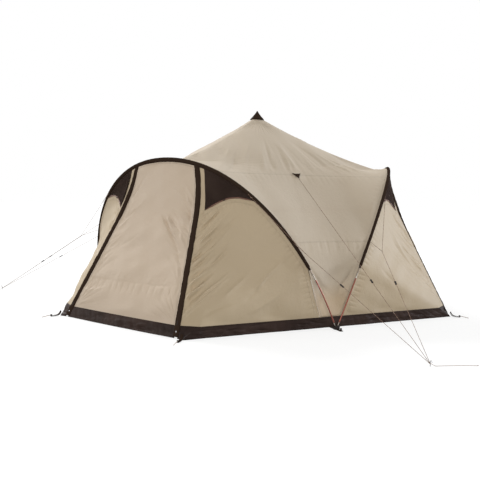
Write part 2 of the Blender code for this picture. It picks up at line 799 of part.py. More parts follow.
def roof_panels():
    columns = 8
    rows = []
    shift = vec(SEAM_GAP + 0.0003, 0, 0)
    for radius in (ROOF_HOLE, 0.12, 0.30, 0.55, 0.80, 1.05, CONTOUR_JOIN[0]):
        edge = side_to_corner(vec(0, -radius, roof_height(radius)) + shift)
        rows.append(contour(edge, wing_at(roof_height(radius)), columns))
    rows[0] = [unit(p * vec(1, 1, 0)) * ROOF_HOLE + vec(0, 0, roof_height(ROOF_HOLE)) for p in rows[0]]

    ridge_end = vec(0, -RIDGE_END, roof_height(RIDGE_END)) + shift
    crown = [node for node in ARCH_NODES if node[2] > CONTOUR_JOIN[1]]
    run = [vec(0, -CONTOUR_JOIN[0], 0), ridge_end, *crown]
    lengths = np.cumsum([np.linalg.norm((b - a)[:2]) for a, b in zip(run, run[1:])])
    shares = lengths / (lengths[-1] + 0.10)
    rows.append(contour(side_to_corner(ridge_end), wing_at(roof_edge_height(shares[0])), columns))
    for i, node in enumerate(ARCH_NODES):
        height = roof_edge_height(shares[i + 1]) if i < len(crown) else node[2]
        middle = wing_at(height)
        loose = contour(side_to_corner(node), middle, columns)
        towards = corner_to_side(loose[1])
        edge = turned_in(node, towards, -ALONG_WALL) + (shift if i == 0 else 0)
        rows.append(contour(side_to_corner(edge), middle, columns))
    last = leg_edge(SLEEVE_END_HEIGHT, corner_to_side(wing_at(SLEEVE_END_HEIGHT)), -ALONG_WALL)
    for height in (0.42, 0.25, SKIRT_HEIGHT):
        edge = mix(seam_foot(-ALONG_WALL), last, height / last[2])
        rows.append(contour(side_to_corner(edge), wing_at(height), columns))
    on_every_corner("roof_panel_{}", sheet("roof_panel", [rows]), "roof_cloth")


def skirts():
    """The dark foot of the wall round a corner, with a pegged loop at each door corner."""
    rows = []
    wing_top = leg_edge(SLEEVE_END_HEIGHT, corner_to_side(wing_at(SLEEVE_END_HEIGHT)), -ALONG_WALL)
    for height in (GROUND_CLEARANCE, SKIRT_HEIGHT - 2 * SEAM_GAP):
        near = [strip_edge(height, 0)] + [wall_point(share, height) for share in WALL_SHARES]
        near.append(mix(seam_foot(-ALONG_WALL), wing_top, height / wing_top[2]))
        near = [side_to_corner(point) for point in near]
        rows.append(near + [mirror_y(point) for point in near[::-1]])
    skirt = sheet("skirt", [rows])
    extras = []
    corner = side_to_corner(DOOR_CORNER)
    for sign in (1, -1):
        start = corner * vec(1, sign, 1)
        out = unit(start)
        angle = math.atan2(out[1], out[0])
        centre = start + out * (LOOP_STRAP[0] / 2 - 0.004) + vec(0, 0, LOOP_STRAP[2] / 2)
        extras.append(box("strap", LOOP_STRAP, centre, turn=Matrix.Rotation(angle, 3, "Z")))
        knob = start + out * (LOOP_STRAP[0] - 0.015)
        extras.append(cylinder("knob", LOOP_KNOB_RADIUS, knob + vec(0, 0, 0.001),
                               knob + vec(0, 0, LOOP_KNOB_HEIGHT), sides=10, top_radius=0.006))
    on_every_corner("skirt_{}", combined("skirt", skirt, joined=extras), "dark_cloth")


# Pole feet, pegs, guy lines and tensioners, in the corner frame

def pole_feet(end, down):
    """A strap with a block that takes the tips of two poles, held by a peg with a knob."""
    start = WALL_RADIUS + CLOTH / 2 + GAP
    strap = box("strap", FOOT_STRAP, (start + FOOT_STRAP[0] / 2, 0, FOOT_STRAP[2] / 2), bevel=0.0015)
    block = box("block", FOOT_BLOCK, (FOOT_RADIUS, 0, FOOT_BLOCK[2] / 2), bevel=0.007)
    knob_at = vec(start + FOOT_STRAP[0] - 0.016, 0, 0.001)
    knob = cylinder("knob", KNOB_RADIUS, knob_at, knob_at + vec(0, 0, KNOB_HEIGHT), top_radius=0.008)
    bores = []
    for sign in (1, -1):
        bottom = side_to_corner(end + down * POLE_CLEARANCE) * vec(1, sign, 1)
        up = side_to_corner(-down) * vec(1, sign, 1)
        bores.append(cylinder("bore", TIP_RADIUS + GAP, bottom, bottom + up * 0.05, sides=12))
    foot = combined("pole_foot", strap, joined=[block, knob], cut=bores)
    on_every_corner("pole_foot_{}", foot, "black_plastic")


def line_pegs():
    """The head and the upper end of a hooked peg; its shaft is in the ground."""
    hook = [(0, 0), (0, 0.030), (0.001, 0.038), (0.005, 0.043), (0.010, PEG_HEIGHT), (0.015, 0.042),
            (0.018, 0.036), (0.019, 0.030)]
    points = [vec(PEG_DISTANCE + x, 0, z) for x, z in hook]
    on_every_corner("line_peg_{}", tube("line_peg", points, PEG_RADIUS), "steel")


def line_ends():
    """Ends of the straight runs of a corner's lines."""
    yoke = vec(*YOKE)
    ring = vec(PEG_DISTANCE, 0, PEG_RING_HEIGHT)
    patch_tip = vec(WING_PATCH[0], 0, WING_PATCH[1]) + vec(PATCH_LIFT, 0, 0)
    holds = []
    for height in (YOKE_LOW_HEIGHT, YOKE_HIGH_HEIGHT):
        node = arch_at_height(height)
        edge = beside(node, arch_tangent(node), corner_to_side(yoke), SEAT + 0.001)
        holds.append(side_to_corner(edge))
    reach = PEG_RADIUS + GAP + PEG_RING_THICKNESS
    ends = [ring + unit((start - ring) * vec(1, 1, 0)) * reach
            for start in (patch_tip, yoke, mirror_y(yoke))]
    return yoke, patch_tip, holds, ends


def guy_lines():
    yoke, patch_tip, holds, ends = line_ends()
    ring_radius = PEG_RADIUS + GAP + PEG_RING_THICKNESS
    turns = [vec(PEG_DISTANCE + ring_radius * math.cos(a), ring_radius * math.sin(a), PEG_RING_HEIGHT)
             for a in np.linspace(0, 2 * math.pi, 12, endpoint=False)]
    pieces = [tube("loop", turns, PEG_RING_THICKNESS, closed=True, sides=6)]
    pieces.append(tube("line", [patch_tip - unit(ends[0] - patch_tip) * 0.006, ends[0]], LINE_RADIUS, sides=6))
    for flip, end in ((vec(1, 1, 1), ends[1]), (vec(1, -1, 1), ends[2])):
        pieces.append(tube("line", [yoke * flip, end], LINE_RADIUS, sides=6))
        pieces.append(sphere("knot", KNOT_RADIUS, yoke * flip))
        for hold in holds:
            pieces.append(tube("line", [hold * flip, yoke * flip], LINE_RADIUS, sides=6))
    pieces.append(roof_patch(patch_tip))
    for corner, reach in TAIL_REACH.items():
        joined = [mesh.copy() for mesh in pieces[1:]] + loose_tail(reach, ring_radius)
        lines = combined("guy_lines", pieces[0].copy(), joined=joined)
        place("guy_lines_" + corner, lines, "line", CORNER_FRAMES[corner])


def loose_tail(reach, ring_radius):
    """The end of the line, from the loop at the peg down to the ground and along it, with its knot."""
    way = unit(vec(*reach, 0))
    start = vec(PEG_DISTANCE, 0, PEG_RING_HEIGHT) + way * ring_radius
    end = vec(PEG_DISTANCE + reach[0], reach[1], LINE_RADIUS)
    bow = vec(-way[1], way[0], 0) * 0.02
    path = bezier([start, start + way * 0.06 - vec(0, 0, 0.05), end - way * 0.13 + bow, end],
                  np.linspace(0, 1, 9))
    path[:, 2] = np.maximum(path[:, 2], LINE_RADIUS + 0.0004)
    knot = sphere("knot", KNOT_RADIUS, path[-1] + vec(0, 0, 0.0024))
    return [tube("tail", list(path), LINE_RADIUS, sides=6), knot]


def roof_patch(tip):
    """A triangle of cloth on the roof seam, drawn out by its line."""
    top = wing_at(WING_PATCH[1] + PATCH_HEIGHT)
    slope = unit(top - wing_at(WING_PATCH[1]))
    normal = vec(-slope[2], 0, slope[0])
    normal = normal if normal[0] > 0 else -normal
    lift = normal * (CLOTH / 2 + PATCH_THICKNESS + 0.0015)
    corners = [top + lift + vec(0, y, 0) for y in (-PATCH_HALF_WIDTH, PATCH_HALF_WIDTH)]
    middle = [mix(corner, tip, 0.5) + normal * 0.001 for corner in corners]
    rows = [corners, middle, [tip - vec(0, 0.002, 0), tip + vec(0, 0.002, 0)]]
    return sheet("roof_patch", [rows], thickness=PATCH_THICKNESS)


def along(direction, up=(0, 0, 1)):
    """A rotation whose X runs along a line."""
    x = Vector(direction).normalized()
    y = Vector(up).cross(x).normalized()
    return Matrix((x, y, x.cross(y))).transposed()


def tensioners():
    """A bar with a waist, bored for its line."""
    bar = box("bar", (TENSIONER_LENGTH, TENSIONER_WIDTH, TENSIONER_DEPTH), (0, 0, 0), bevel=0.002)
    cuts = [cylinder("bore", LINE_RADIUS + LINE_CLEARANCE, (-TENSIONER_LENGTH, 0, 0),
                     (TENSIONER_LENGTH, 0, 0), sides=8)]
    for sign in (1, -1):
        waist = vec(0, sign * (TENSIONER_WIDTH / 2 + TENSIONER_WAIST - 0.0025), 0)
        cuts.append(cylinder("waist", TENSIONER_WAIST, waist - vec(0, 0, 0.01), waist + vec(0, 0, 0.01),
                             sides=10))
    mesh = combined("tensioner", bar, cut=cuts)
    yoke, patch_tip, _, ends = line_ends()
    starts = (patch_tip, yoke, mirror_y(yoke))
    for corner, shares in TENSIONERS_AT.items():
        for label, start, end, share in zip(("roof", "near", "far"), starts, ends, shares):
            place("tensioner_" + corner + "_" + label, mesh, "black_plastic", CORNER_FRAMES[corner],
                  mix(start, end, share), along(end - start))


# Zip sliders

def zip_sliders():
    """A slider on the flap over the zip, with its pull hanging down."""
    body = box("body", (SLIDER_WIDTH, SLIDER_DEPTH, SLIDER_LENGTH), (0, -SLIDER_DEPTH / 2, 0), bevel=0.0015)
    bridge = box("bridge", (0.004, 0.003, 0.012), (0, -SLIDER_DEPTH - 0.001, 0.001), bevel=0.0008)
    pull = box("pull", (PULL_WIDTH, PULL_THICKNESS, PULL_LENGTH),
               (0, -SLIDER_DEPTH - 0.0012, -PULL_LENGTH / 2), bevel=0.0006)
    mesh = combined("zip_slider", body, joined=[bridge, pull])
    z = Vector(ZIP_DIRECTION)
    x = (Vector((1, 0, 0)) - z * z.x).normalized()
    y = z.cross(x)
    at = zip_at(SLIDER_REST_HEIGHT)
    lift = FLAP_THICKNESS / 2 + GAP + 0.0002
    for hand, sign in (("right", 1), ("left", -1)):
        rotation = Matrix((x, y, z)).transposed()
        if sign < 0:
            flip = Matrix.Diagonal((-1, 1, 1))
            rotation = flip @ rotation @ flip
        out = rotation @ Vector((0, -1, 0))
        centre = Vector(at * vec(sign, 1, 1)) + out * lift
        for side in SIDES:
            place("zip_slider_" + side + "_" + hand, mesh, "steel", SIDE_FRAMES[side], centre, rotation)


centre_pole()
apex_cap()
pole_end, pole_down = arch_poles()
doors()
zip_flaps()
side_panels()
vent_meshes()
roof_panels()
skirts()
pole_feet(pole_end, pole_down)
line_pegs()
guy_lines()
tensioners()
zip_sliders()
for leftover in [m for m in bpy.data.meshes if m.users == 0]:
    bpy.data.meshes.remove(leftover)
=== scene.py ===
# %% [markdown]
# # A three-sided pole tent
#
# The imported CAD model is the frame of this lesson: it says where every pole, cloth and line sits. Here
# each cloth and line gets a finer shape with folds, seams and stitches, and each surface its finish.
# The tent stands at the origin in metres, with +Z up. Side a looks towards -Y, and sides b and c repeat
# it every 120 degrees.

# %% Load the frame
import json
import math

import bmesh
import bpy
import numpy as np
from mathutils import Matrix
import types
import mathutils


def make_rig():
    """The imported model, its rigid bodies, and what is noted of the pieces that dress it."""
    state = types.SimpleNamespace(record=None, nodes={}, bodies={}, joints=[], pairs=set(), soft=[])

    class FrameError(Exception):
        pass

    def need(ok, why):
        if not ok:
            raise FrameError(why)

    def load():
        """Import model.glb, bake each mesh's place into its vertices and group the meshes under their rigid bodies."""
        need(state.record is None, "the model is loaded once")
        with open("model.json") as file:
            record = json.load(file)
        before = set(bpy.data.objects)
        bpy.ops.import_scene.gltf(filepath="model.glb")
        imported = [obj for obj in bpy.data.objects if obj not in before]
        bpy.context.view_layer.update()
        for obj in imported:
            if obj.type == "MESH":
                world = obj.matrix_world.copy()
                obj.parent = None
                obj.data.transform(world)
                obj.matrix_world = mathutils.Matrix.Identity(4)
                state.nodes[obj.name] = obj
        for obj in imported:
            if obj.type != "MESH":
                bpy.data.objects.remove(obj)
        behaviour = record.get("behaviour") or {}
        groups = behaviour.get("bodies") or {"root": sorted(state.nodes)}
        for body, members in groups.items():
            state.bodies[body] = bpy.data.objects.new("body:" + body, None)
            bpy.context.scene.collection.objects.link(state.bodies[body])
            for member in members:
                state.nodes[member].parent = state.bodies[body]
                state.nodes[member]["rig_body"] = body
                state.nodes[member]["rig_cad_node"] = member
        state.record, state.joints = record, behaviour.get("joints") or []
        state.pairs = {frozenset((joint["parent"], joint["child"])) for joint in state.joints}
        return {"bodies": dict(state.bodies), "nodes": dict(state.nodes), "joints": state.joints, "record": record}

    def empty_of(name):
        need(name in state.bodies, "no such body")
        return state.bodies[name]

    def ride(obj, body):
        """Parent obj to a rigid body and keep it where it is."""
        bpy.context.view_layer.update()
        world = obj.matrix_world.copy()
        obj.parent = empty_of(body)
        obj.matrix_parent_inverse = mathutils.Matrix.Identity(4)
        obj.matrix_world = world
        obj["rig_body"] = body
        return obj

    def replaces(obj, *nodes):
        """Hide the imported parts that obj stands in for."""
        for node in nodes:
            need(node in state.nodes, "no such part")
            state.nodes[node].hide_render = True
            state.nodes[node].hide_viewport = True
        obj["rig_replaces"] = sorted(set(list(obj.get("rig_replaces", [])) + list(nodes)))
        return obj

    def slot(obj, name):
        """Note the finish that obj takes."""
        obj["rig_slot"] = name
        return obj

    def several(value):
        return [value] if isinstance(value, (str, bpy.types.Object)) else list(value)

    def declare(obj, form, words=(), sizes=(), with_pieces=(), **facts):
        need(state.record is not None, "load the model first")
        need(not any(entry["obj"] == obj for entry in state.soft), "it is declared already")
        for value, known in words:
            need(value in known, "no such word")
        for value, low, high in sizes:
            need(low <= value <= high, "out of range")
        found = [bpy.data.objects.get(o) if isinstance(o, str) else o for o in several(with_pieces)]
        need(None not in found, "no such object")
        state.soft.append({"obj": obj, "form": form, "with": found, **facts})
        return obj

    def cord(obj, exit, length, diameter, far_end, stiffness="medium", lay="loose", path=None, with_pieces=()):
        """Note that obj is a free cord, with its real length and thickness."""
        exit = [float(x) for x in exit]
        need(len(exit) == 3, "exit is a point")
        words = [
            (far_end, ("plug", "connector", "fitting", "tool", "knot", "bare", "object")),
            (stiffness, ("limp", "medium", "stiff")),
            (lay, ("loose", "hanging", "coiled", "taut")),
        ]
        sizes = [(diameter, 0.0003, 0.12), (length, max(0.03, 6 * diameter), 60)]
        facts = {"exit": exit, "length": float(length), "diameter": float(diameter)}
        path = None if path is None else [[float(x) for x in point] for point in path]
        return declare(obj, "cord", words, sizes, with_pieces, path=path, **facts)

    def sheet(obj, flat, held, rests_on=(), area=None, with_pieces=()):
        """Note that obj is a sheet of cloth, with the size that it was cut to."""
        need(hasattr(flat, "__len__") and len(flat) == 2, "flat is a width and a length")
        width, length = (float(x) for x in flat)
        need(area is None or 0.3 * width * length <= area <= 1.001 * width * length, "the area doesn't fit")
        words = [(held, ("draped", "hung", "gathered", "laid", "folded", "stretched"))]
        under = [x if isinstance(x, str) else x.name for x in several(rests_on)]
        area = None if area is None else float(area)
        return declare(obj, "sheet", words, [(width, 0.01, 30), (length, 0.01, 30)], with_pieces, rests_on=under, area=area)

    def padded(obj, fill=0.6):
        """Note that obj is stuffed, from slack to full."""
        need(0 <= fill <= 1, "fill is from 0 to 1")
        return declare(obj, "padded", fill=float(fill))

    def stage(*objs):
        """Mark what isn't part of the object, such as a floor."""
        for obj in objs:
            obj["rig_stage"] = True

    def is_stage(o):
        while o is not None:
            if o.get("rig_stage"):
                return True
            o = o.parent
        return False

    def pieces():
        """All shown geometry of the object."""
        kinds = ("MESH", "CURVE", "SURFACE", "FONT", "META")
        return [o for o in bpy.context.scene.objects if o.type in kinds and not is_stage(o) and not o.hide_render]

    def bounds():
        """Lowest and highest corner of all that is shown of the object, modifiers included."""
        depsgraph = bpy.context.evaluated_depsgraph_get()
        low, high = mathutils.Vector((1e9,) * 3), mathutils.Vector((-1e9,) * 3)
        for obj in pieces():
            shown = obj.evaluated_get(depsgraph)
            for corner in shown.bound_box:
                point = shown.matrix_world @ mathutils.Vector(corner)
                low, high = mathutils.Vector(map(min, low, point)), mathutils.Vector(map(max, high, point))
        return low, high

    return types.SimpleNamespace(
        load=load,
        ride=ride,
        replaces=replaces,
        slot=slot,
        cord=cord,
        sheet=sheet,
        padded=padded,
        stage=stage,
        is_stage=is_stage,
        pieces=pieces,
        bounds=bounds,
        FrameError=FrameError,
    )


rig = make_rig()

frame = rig.load()
CAD_BOX = [list(corner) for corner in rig.bounds()]
SIDES = ("a", "b", "c")
CORNERS = ("ab", "bc", "ca")
PANELS = [(k, side, hand, sign) for k, side in enumerate(SIDES)
          for hand, sign in (("right", 1), ("left", -1))]
TURN = 2 * math.pi
print("nodes", len(frame["nodes"]), "CAD box", CAD_BOX)

# %% [markdown]
# ## Camera, floor and light
#
# The camera stands where the photographer stood, a little over a metre high and seven metres away. Its
# place was worked out from points of the picture whose places on the tent are known. Studio pictures of
# tents are lit from above and from both sides, so four wide suns do that here. A sun has no distance,
# so every side of the tent is lit evenly in other views too.

# %% Camera
RIGHT = (0.817826, 0.575230, 0.016482)
UP = (-0.054828, 0.049377, 0.997274)
FORWARD = (-0.572848, 0.816500, -0.071921)
CAMERA_PLACE = (4.1594, -5.7025, 1.1933)
PICTURE_SIZE, FOCAL_PIXELS, CENTRE_PIXEL, SENSOR_WIDTH = 480, 599.0, 266.3, 36
camera_data = bpy.data.cameras.new("photo_camera")
camera_data.sensor_width = SENSOR_WIDTH
camera_data.lens = FOCAL_PIXELS / PICTURE_SIZE * SENSOR_WIDTH
camera_data.shift_x = (PICTURE_SIZE / 2 - CENTRE_PIXEL) / PICTURE_SIZE
camera = bpy.data.objects.new("photo_camera", camera_data)
camera.matrix_world = Matrix([
    (RIGHT[i], UP[i], -FORWARD[i], CAMERA_PLACE[i]) for i in range(3)
] + [(0, 0, 0, 1)])
bpy.context.scene.collection.objects.link(camera)
bpy.context.scene.camera = camera


# %% [markdown]
# ## Shader maths
#
# A material is a small program. Wrapping a socket in a class with operators lets us write that program
# as sums and products, and each operator adds one Math node.

# %% Sockets and graphs
def srgb(red, green, blue):
    """A colour given from 0 to 255, as the linear numbers that Blender expects."""
    share = np.array([red, green, blue]) / 255
    return tuple(np.where(share > 0.04045, ((share + 0.055) / 1.055) ** 2.4, share / 12.92))


class Socket:
    """An output of a node; arithmetic on it adds Math nodes."""

    def __init__(self, graph, output):
        self.graph, self.output = graph, output

    def maths(self, operation, *values, clamp=False):
        settings = {"operation": operation, "use_clamp": clamp}
        return self.graph.node("ShaderNodeMath", settings, dict(enumerate(values)))

    def __add__(self, other):
        return self.maths("ADD", self, other)

    def __sub__(self, other):
        return self.maths("SUBTRACT", self, other)

    def __rsub__(self, other):
        return self.maths("SUBTRACT", other, self)

    def __mul__(self, other):
        return self.maths("MULTIPLY", self, other)

    def __truediv__(self, other):
        return self.maths("DIVIDE", self, other)

    def __pow__(self, other):
        return self.maths("POWER", self, other)

    __radd__ = __add__
    __rmul__ = __mul__

    def sin(self):
        return self.maths("SINE", self)

    def size(self):
        return self.maths("ABSOLUTE", self)

    def below(self, edge, softness):
        """1 where the value is under the edge, falling to 0 over the softness."""
        return self.maths("MULTIPLY", edge - self, 1 / softness, clamp=True)

    def line(self, centre, half_width, softness):
        """1 on a line at the centre, 0 outside it."""
        return (self - centre).size().below(half_width, softness)


class Graph:
    """The nodes of a material or of the world."""

    def __init__(self, tree):
        self.tree = tree

    def node(self, kind, settings, inputs, output=0):
        made = self.tree.nodes.new(kind)
        for key, value in settings.items():
            setattr(made, key, value)
        for key, value in inputs.items():
            if isinstance(value, Socket):
                self.tree.links.new(value.output, made.inputs[key])
            else:
                made.inputs[key].default_value = value
        return Socket(self, made.outputs[output])

    def place(self):
        """Object coordinates, in metres of the tent's own frame."""
        return self.node("ShaderNodeTexCoord", {}, {}, "Object")

    def uv(self, name):
        return self.node("ShaderNodeUVMap", {"uv_map": name}, {})

    def split(self, vector):
        made = self.node("ShaderNodeSeparateXYZ", {}, {0: vector})
        return [Socket(self, out) for out in made.output.node.outputs]

    def stretched(self, vector, scale):
        return self.node("ShaderNodeVectorMath", {"operation": "MULTIPLY"}, {0: vector, 1: scale})

    def noise(self, vector, scale, detail=2.0, roughness=0.5, distortion=0.0):
        inputs = {"Vector": vector, "Scale": scale, "Detail": detail, "Roughness": roughness,
                  "Distortion": distortion}
        return self.node("ShaderNodeTexNoise", {}, inputs, "Fac")

    def blend(self, first, second, share):
        first, second = [(*c, 1) if isinstance(c, tuple) else c for c in (first, second)]
        return self.node("ShaderNodeMix", {"data_type": "RGBA"}, {0: share, 6: first, 7: second}, 2)

    def seen(self):
        """1 for rays of the camera, of gloss and of glass, 0 for light on its way."""
        rays = self.node("ShaderNodeLightPath", {}, {}).output.node.outputs
        return sum(Socket(self, rays[f"Is {kind} Ray"]) for kind in ("Glossy", "Transmission", "Camera"))


class Finish(Graph):
    """A material. Constant finish numbers go on the shader's own sockets."""

    def __init__(self, name, colour, roughness, metallic=0.0, **constants):
        self.material = bpy.data.materials.new(name)
        self.material.use_nodes = True
        super().__init__(self.material.node_tree)
        self.shader = self.tree.nodes["Principled BSDF"]
        self.shader.inputs["Base Color"].default_value = (*colour, 1)
        self.shader.inputs["Roughness"].default_value = roughness
        self.shader.inputs["Metallic"].default_value = metallic
        for key, value in constants.items():
            self.shader.inputs[key.replace("_", " ")].default_value = value
        self.material.diffuse_color = (*colour, 1)

    def feed(self, **sockets):
        for key, value in sockets.items():
            self.tree.links.new(value.output, self.shader.inputs[key.replace("_", " ")])

    def bump(self, height, distance):
        self.feed(Normal=self.node("ShaderNodeBump", {}, {"Height": height, "Distance": distance}))


# %% Floor and world
FLOOR_REACH, FLOOR_LEVEL, WORLD_LIGHT = 60.0, -0.002, 0.40


def floor_material():
    """Pale grey paper. To the camera, gloss and glass it also glows, up to white; its shadows stay."""
    graph = Finish("floor_paper", (0.24, 0.24, 0.235), 0.9, Emission_Strength=1.0)
    graph.feed(Emission_Color=graph.blend((0.0, 0.0, 0.0), (0.76, 0.76, 0.76), graph.seen()))
    return graph.material


floor_mesh = bpy.data.meshes.new("floor")
floor_mesh.from_pydata([(FLOOR_REACH * x, FLOOR_REACH * y, FLOOR_LEVEL)
                        for x, y in ((-1, -1), (1, -1), (1, 1), (-1, 1))], [], [(0, 1, 2, 3)])
floor_mesh.materials.append(floor_material())
floor = bpy.data.objects.new("floor", floor_mesh)
bpy.context.scene.collection.objects.link(floor)
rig.stage(floor)

world = bpy.data.worlds.new("white_room")
bpy.context.scene.world = world
world.use_nodes = True
sky = Graph(world.node_tree)
strength = sky.node("ShaderNodeMapRange", {}, {"Value": sky.seen(), "To Min": WORLD_LIGHT})
background = sky.tree.nodes["Background"]
background.inputs["Color"].default_value = (1, 1, 1, 1)
sky.tree.links.new(strength.output, background.inputs["Strength"])

# %% Suns
SUNS = {
    # name: (azimuth from -Y towards +X, height above the horizon, strength, angle in degrees, colour)
    "sun_left": (-110, 38, 2.45, 22, (0.99, 0.99, 1.0)),
    "sun_low_left": (-60, 14, 0.80, 18, (1.0, 0.98, 0.96)),
    "sun_front": (35, 14, 1.20, 22, (1.0, 0.95, 0.88)),
    "sun_right": (135, 14, 2.10, 14, (0.82, 0.88, 1.0)),
}
for name, (azimuth, height, power, angle, tint) in SUNS.items():
    data = bpy.data.lights.new(name, "SUN")
    data.energy, data.angle, data.color = power, math.radians(angle), tint
    lamp = bpy.data.objects.new(name, data)
    lamp.rotation_euler = (math.radians(90 - height), 0, math.radians(azimuth))
    bpy.context.scene.collection.objects.link(lamp)
bpy.context.scene.view_settings.view_transform = "Standard"


# %% [markdown]
# ## The tent's lines
#
# Everything hangs on a few curves: the bent arch, the zip, the wall's edges and the profile of the roof's
# wing. They are the same formulas as in the CAD source, written for whole arrays of heights at once.

# %% Vectors
def vec(*values):
    return np.array(values, dtype=float)


def dot(a, b):
    return (a * b).sum(axis=-1, keepdims=True)


def unit(v):
    return v / np.linalg.norm(v, axis=-1, keepdims=True)


def mix(start, end, share):
    return start + (end - start) * share


def bezier(controls, t):
    """Points of a Bezier curve: repeated mixing of neighbouring control points."""
    t = np.asarray(t, dtype=float)[..., None]
    level = [np.asarray(c, dtype=float) + 0 * t for c in controls]
    while len(level) > 1:
        level = [mix(a, b, t) for a, b in zip(level, level[1:])]
    return level[0]


def along(x, places, table):
    """Rows of a table read at x, between its places, column by column."""
    return np.stack([np.interp(x, places, column) for column in table.T], axis=-1)


def run_of(points):
    """The length along a line of points, from 0 at its first one."""
    return np.concatenate([[0], np.cumsum(np.linalg.norm(np.diff(points, axis=0), axis=1))])


def spun(points, degrees):
    """The points turned about the Z axis."""
    c, s = math.cos(math.radians(degrees)), math.sin(math.radians(degrees))
    return points @ np.array([(c, -s, 0), (s, c, 0), (0, 0, 1)]).T


def mirrored(points, sign):
    """The points as they are, or for the sign -1 on the other side of the door's middle."""
    return points * vec(sign, 1, 1)


def norm(points):
    return np.linalg.norm(points, axis=-1)


# %% Sizes in metres, as in the CAD source
DOOR_DISTANCE, DOOR_CORNER_HALF, WING_FOOT_HALF = 2.11, 0.806, 0.09
WALL_RADIUS = DOOR_CORNER_HALF * math.cos(math.pi / 6) + DOOR_DISTANCE / 2
FOOT_RADIUS = WALL_RADIUS + 0.096
SEAM_GAP, SKIRT_HEIGHT, CLOTH = 0.0007, 0.10, 0.002
ARCH_HEIGHT, ARCH_TOP_DISTANCE = 1.543, 1.506
POLE_RADIUS, SLEEVE_RADIUS, SLEEVE_END_HEIGHT = 0.00625, 0.014, 0.576
SEAT = SLEEVE_RADIUS + 0.0004
SEWN = SEAT - 0.004
ZIP_TOP_X, FLAP_HALF, STRIP_WIDTH, STRIP_TOP, ZIP_CLOTH_TOP = 0.40, 0.026, 0.050, 1.40, 1.352
HEM_INNER_HEIGHT, HEM_OUTER_HEIGHT, HEM_RISE = 1.058, 1.155, 0.070
FOLD_TOP, FOLD_FOOT_AT, TURN_IN_HEIGHT = 0.70, 0.10, 0.85
ROOF_APEX, ROOF_HOLE, RIDGE_END, RIDGE_BEND, WING_TOP = 2.125, 0.018, 1.42, 1.30, 1.40
MIDDLE = vec(0, 0, 0.4)

# %% The arch, from its top to its right foot
outline = bezier([(0, 1), (0.575, 1), (0.9154, 0.5121), (1, 0)], np.linspace(0, 1, 801))
ARCH = np.column_stack([
    outline[:, 0] * FOOT_RADIUS * math.cos(math.pi / 6),
    -mix(FOOT_RADIUS * math.sin(math.pi / 6), ARCH_TOP_DISTANCE, outline[:, 1]),
    outline[:, 1] * ARCH_HEIGHT,
])
ARCH_RUN = run_of(ARCH)
ARCH_WAY = unit(np.gradient(ARCH, ARCH_RUN, axis=0))


def run_at_height(height):
    return np.interp(-np.asarray(height, dtype=float), -ARCH[:, 2], ARCH_RUN)


def run_at_x(x):
    return np.interp(x, ARCH[:, 0], ARCH_RUN)


def on_arch(run):
    return along(run, ARCH_RUN, ARCH)


def arch_way(run):
    return unit(along(run, ARCH_RUN, ARCH_WAY))


def off_arch(run, towards, distance):
    """A point beside the pole's axis, at a distance, on the side of another point."""
    point, way = on_arch(run), arch_way(run)
    aside = towards - point
    return point + unit(aside - way * dot(aside, way)) * distance


# %% The zip, straight to its knee and curved above it
ZIP_TOP = on_arch(run_at_x(ZIP_TOP_X))
ZIP_KNEE = vec(0.508, 0.488 - DOOR_DISTANCE, 0.971)
ZIP_FOOT = vec(DOOR_CORNER_HALF - 0.084, 0.010 - DOOR_DISTANCE, 0)
ZIP_DIRECTION = unit(ZIP_KNEE - ZIP_FOOT)
ZIP_LINE = np.vstack([
    [ZIP_FOOT], bezier([ZIP_KNEE, ZIP_KNEE + ZIP_DIRECTION * 0.28, ZIP_TOP], np.linspace(0, 1, 101))
])


def zip_at(height):
    return along(height, ZIP_LINE[:, 2], ZIP_LINE)


def door_bulge(height):
    return mix(0.010, 0.0194, height / ZIP_TOP[2])


def door_side(height):
    """The way in which the door leaves the zip."""
    slope = -2 * door_bulge(height) / zip_at(height)[..., 0]
    return unit(np.stack([-1 + 0 * slope, slope, 0 * slope], axis=-1))


def flap_edge(height, beyond=0.0):
    return zip_at(height) - door_side(height) * (FLAP_HALF + beyond)


# %% The wall beside the zip
DOOR_CORNER = vec(DOOR_CORNER_HALF, -DOOR_DISTANCE, 0)
WING_FOOT = spun(vec(WALL_RADIUS, -WING_FOOT_HALF, 0), -30)
INWARD = spun(vec(-1, 0, 0), -30)
ALONG_WALL = spun(vec(0, -1, 0), -30)


def turned_in(run, towards, shift):
    """The edge of a cloth beside the arch leg; near the sleeve's end it turns in behind the pole."""
    point, way = on_arch(run), arch_way(run)
    share = np.clip((TURN_IN_HEIGHT - point[..., 2:]) / (TURN_IN_HEIGHT - SLEEVE_END_HEIGHT), 0, 1)
    aside = unit(towards - point - way * dot(towards - point, way))
    inward = unit(INWARD - way * dot(INWARD, way))
    return point + unit(mix(aside, inward, share)) * (SEAT + 2.5 * CLOTH * share) \
        + shift * SEAM_GAP * share


def leg_edge(height, towards, shift):
    """Along the arch leg, and below the sleeve straight down to the corner seam's foot."""
    height = np.asarray(height, dtype=float)
    on_leg = turned_in(run_at_height(np.maximum(height, SLEEVE_END_HEIGHT)), towards, shift)
    return np.where(height[..., None] >= SLEEVE_END_HEIGHT, on_leg,
                    mix(WING_FOOT + shift * SEAM_GAP, on_leg, height[..., None] / on_leg[..., 2:]))


def wall_edge(height):
    return leg_edge(height, zip_at(np.maximum(height, SLEEVE_END_HEIGHT)), ALONG_WALL)


def fold_at(height):
    """The fold that the door corner's peg draws up to the arch leg, and the leg above it."""
    height = np.asarray(height, dtype=float)
    low = mix(DOOR_CORNER, wall_edge(FOLD_TOP), height[..., None] / FOLD_TOP)
    return np.where(height[..., None] >= FOLD_TOP, on_arch(run_at_height(height)), low)


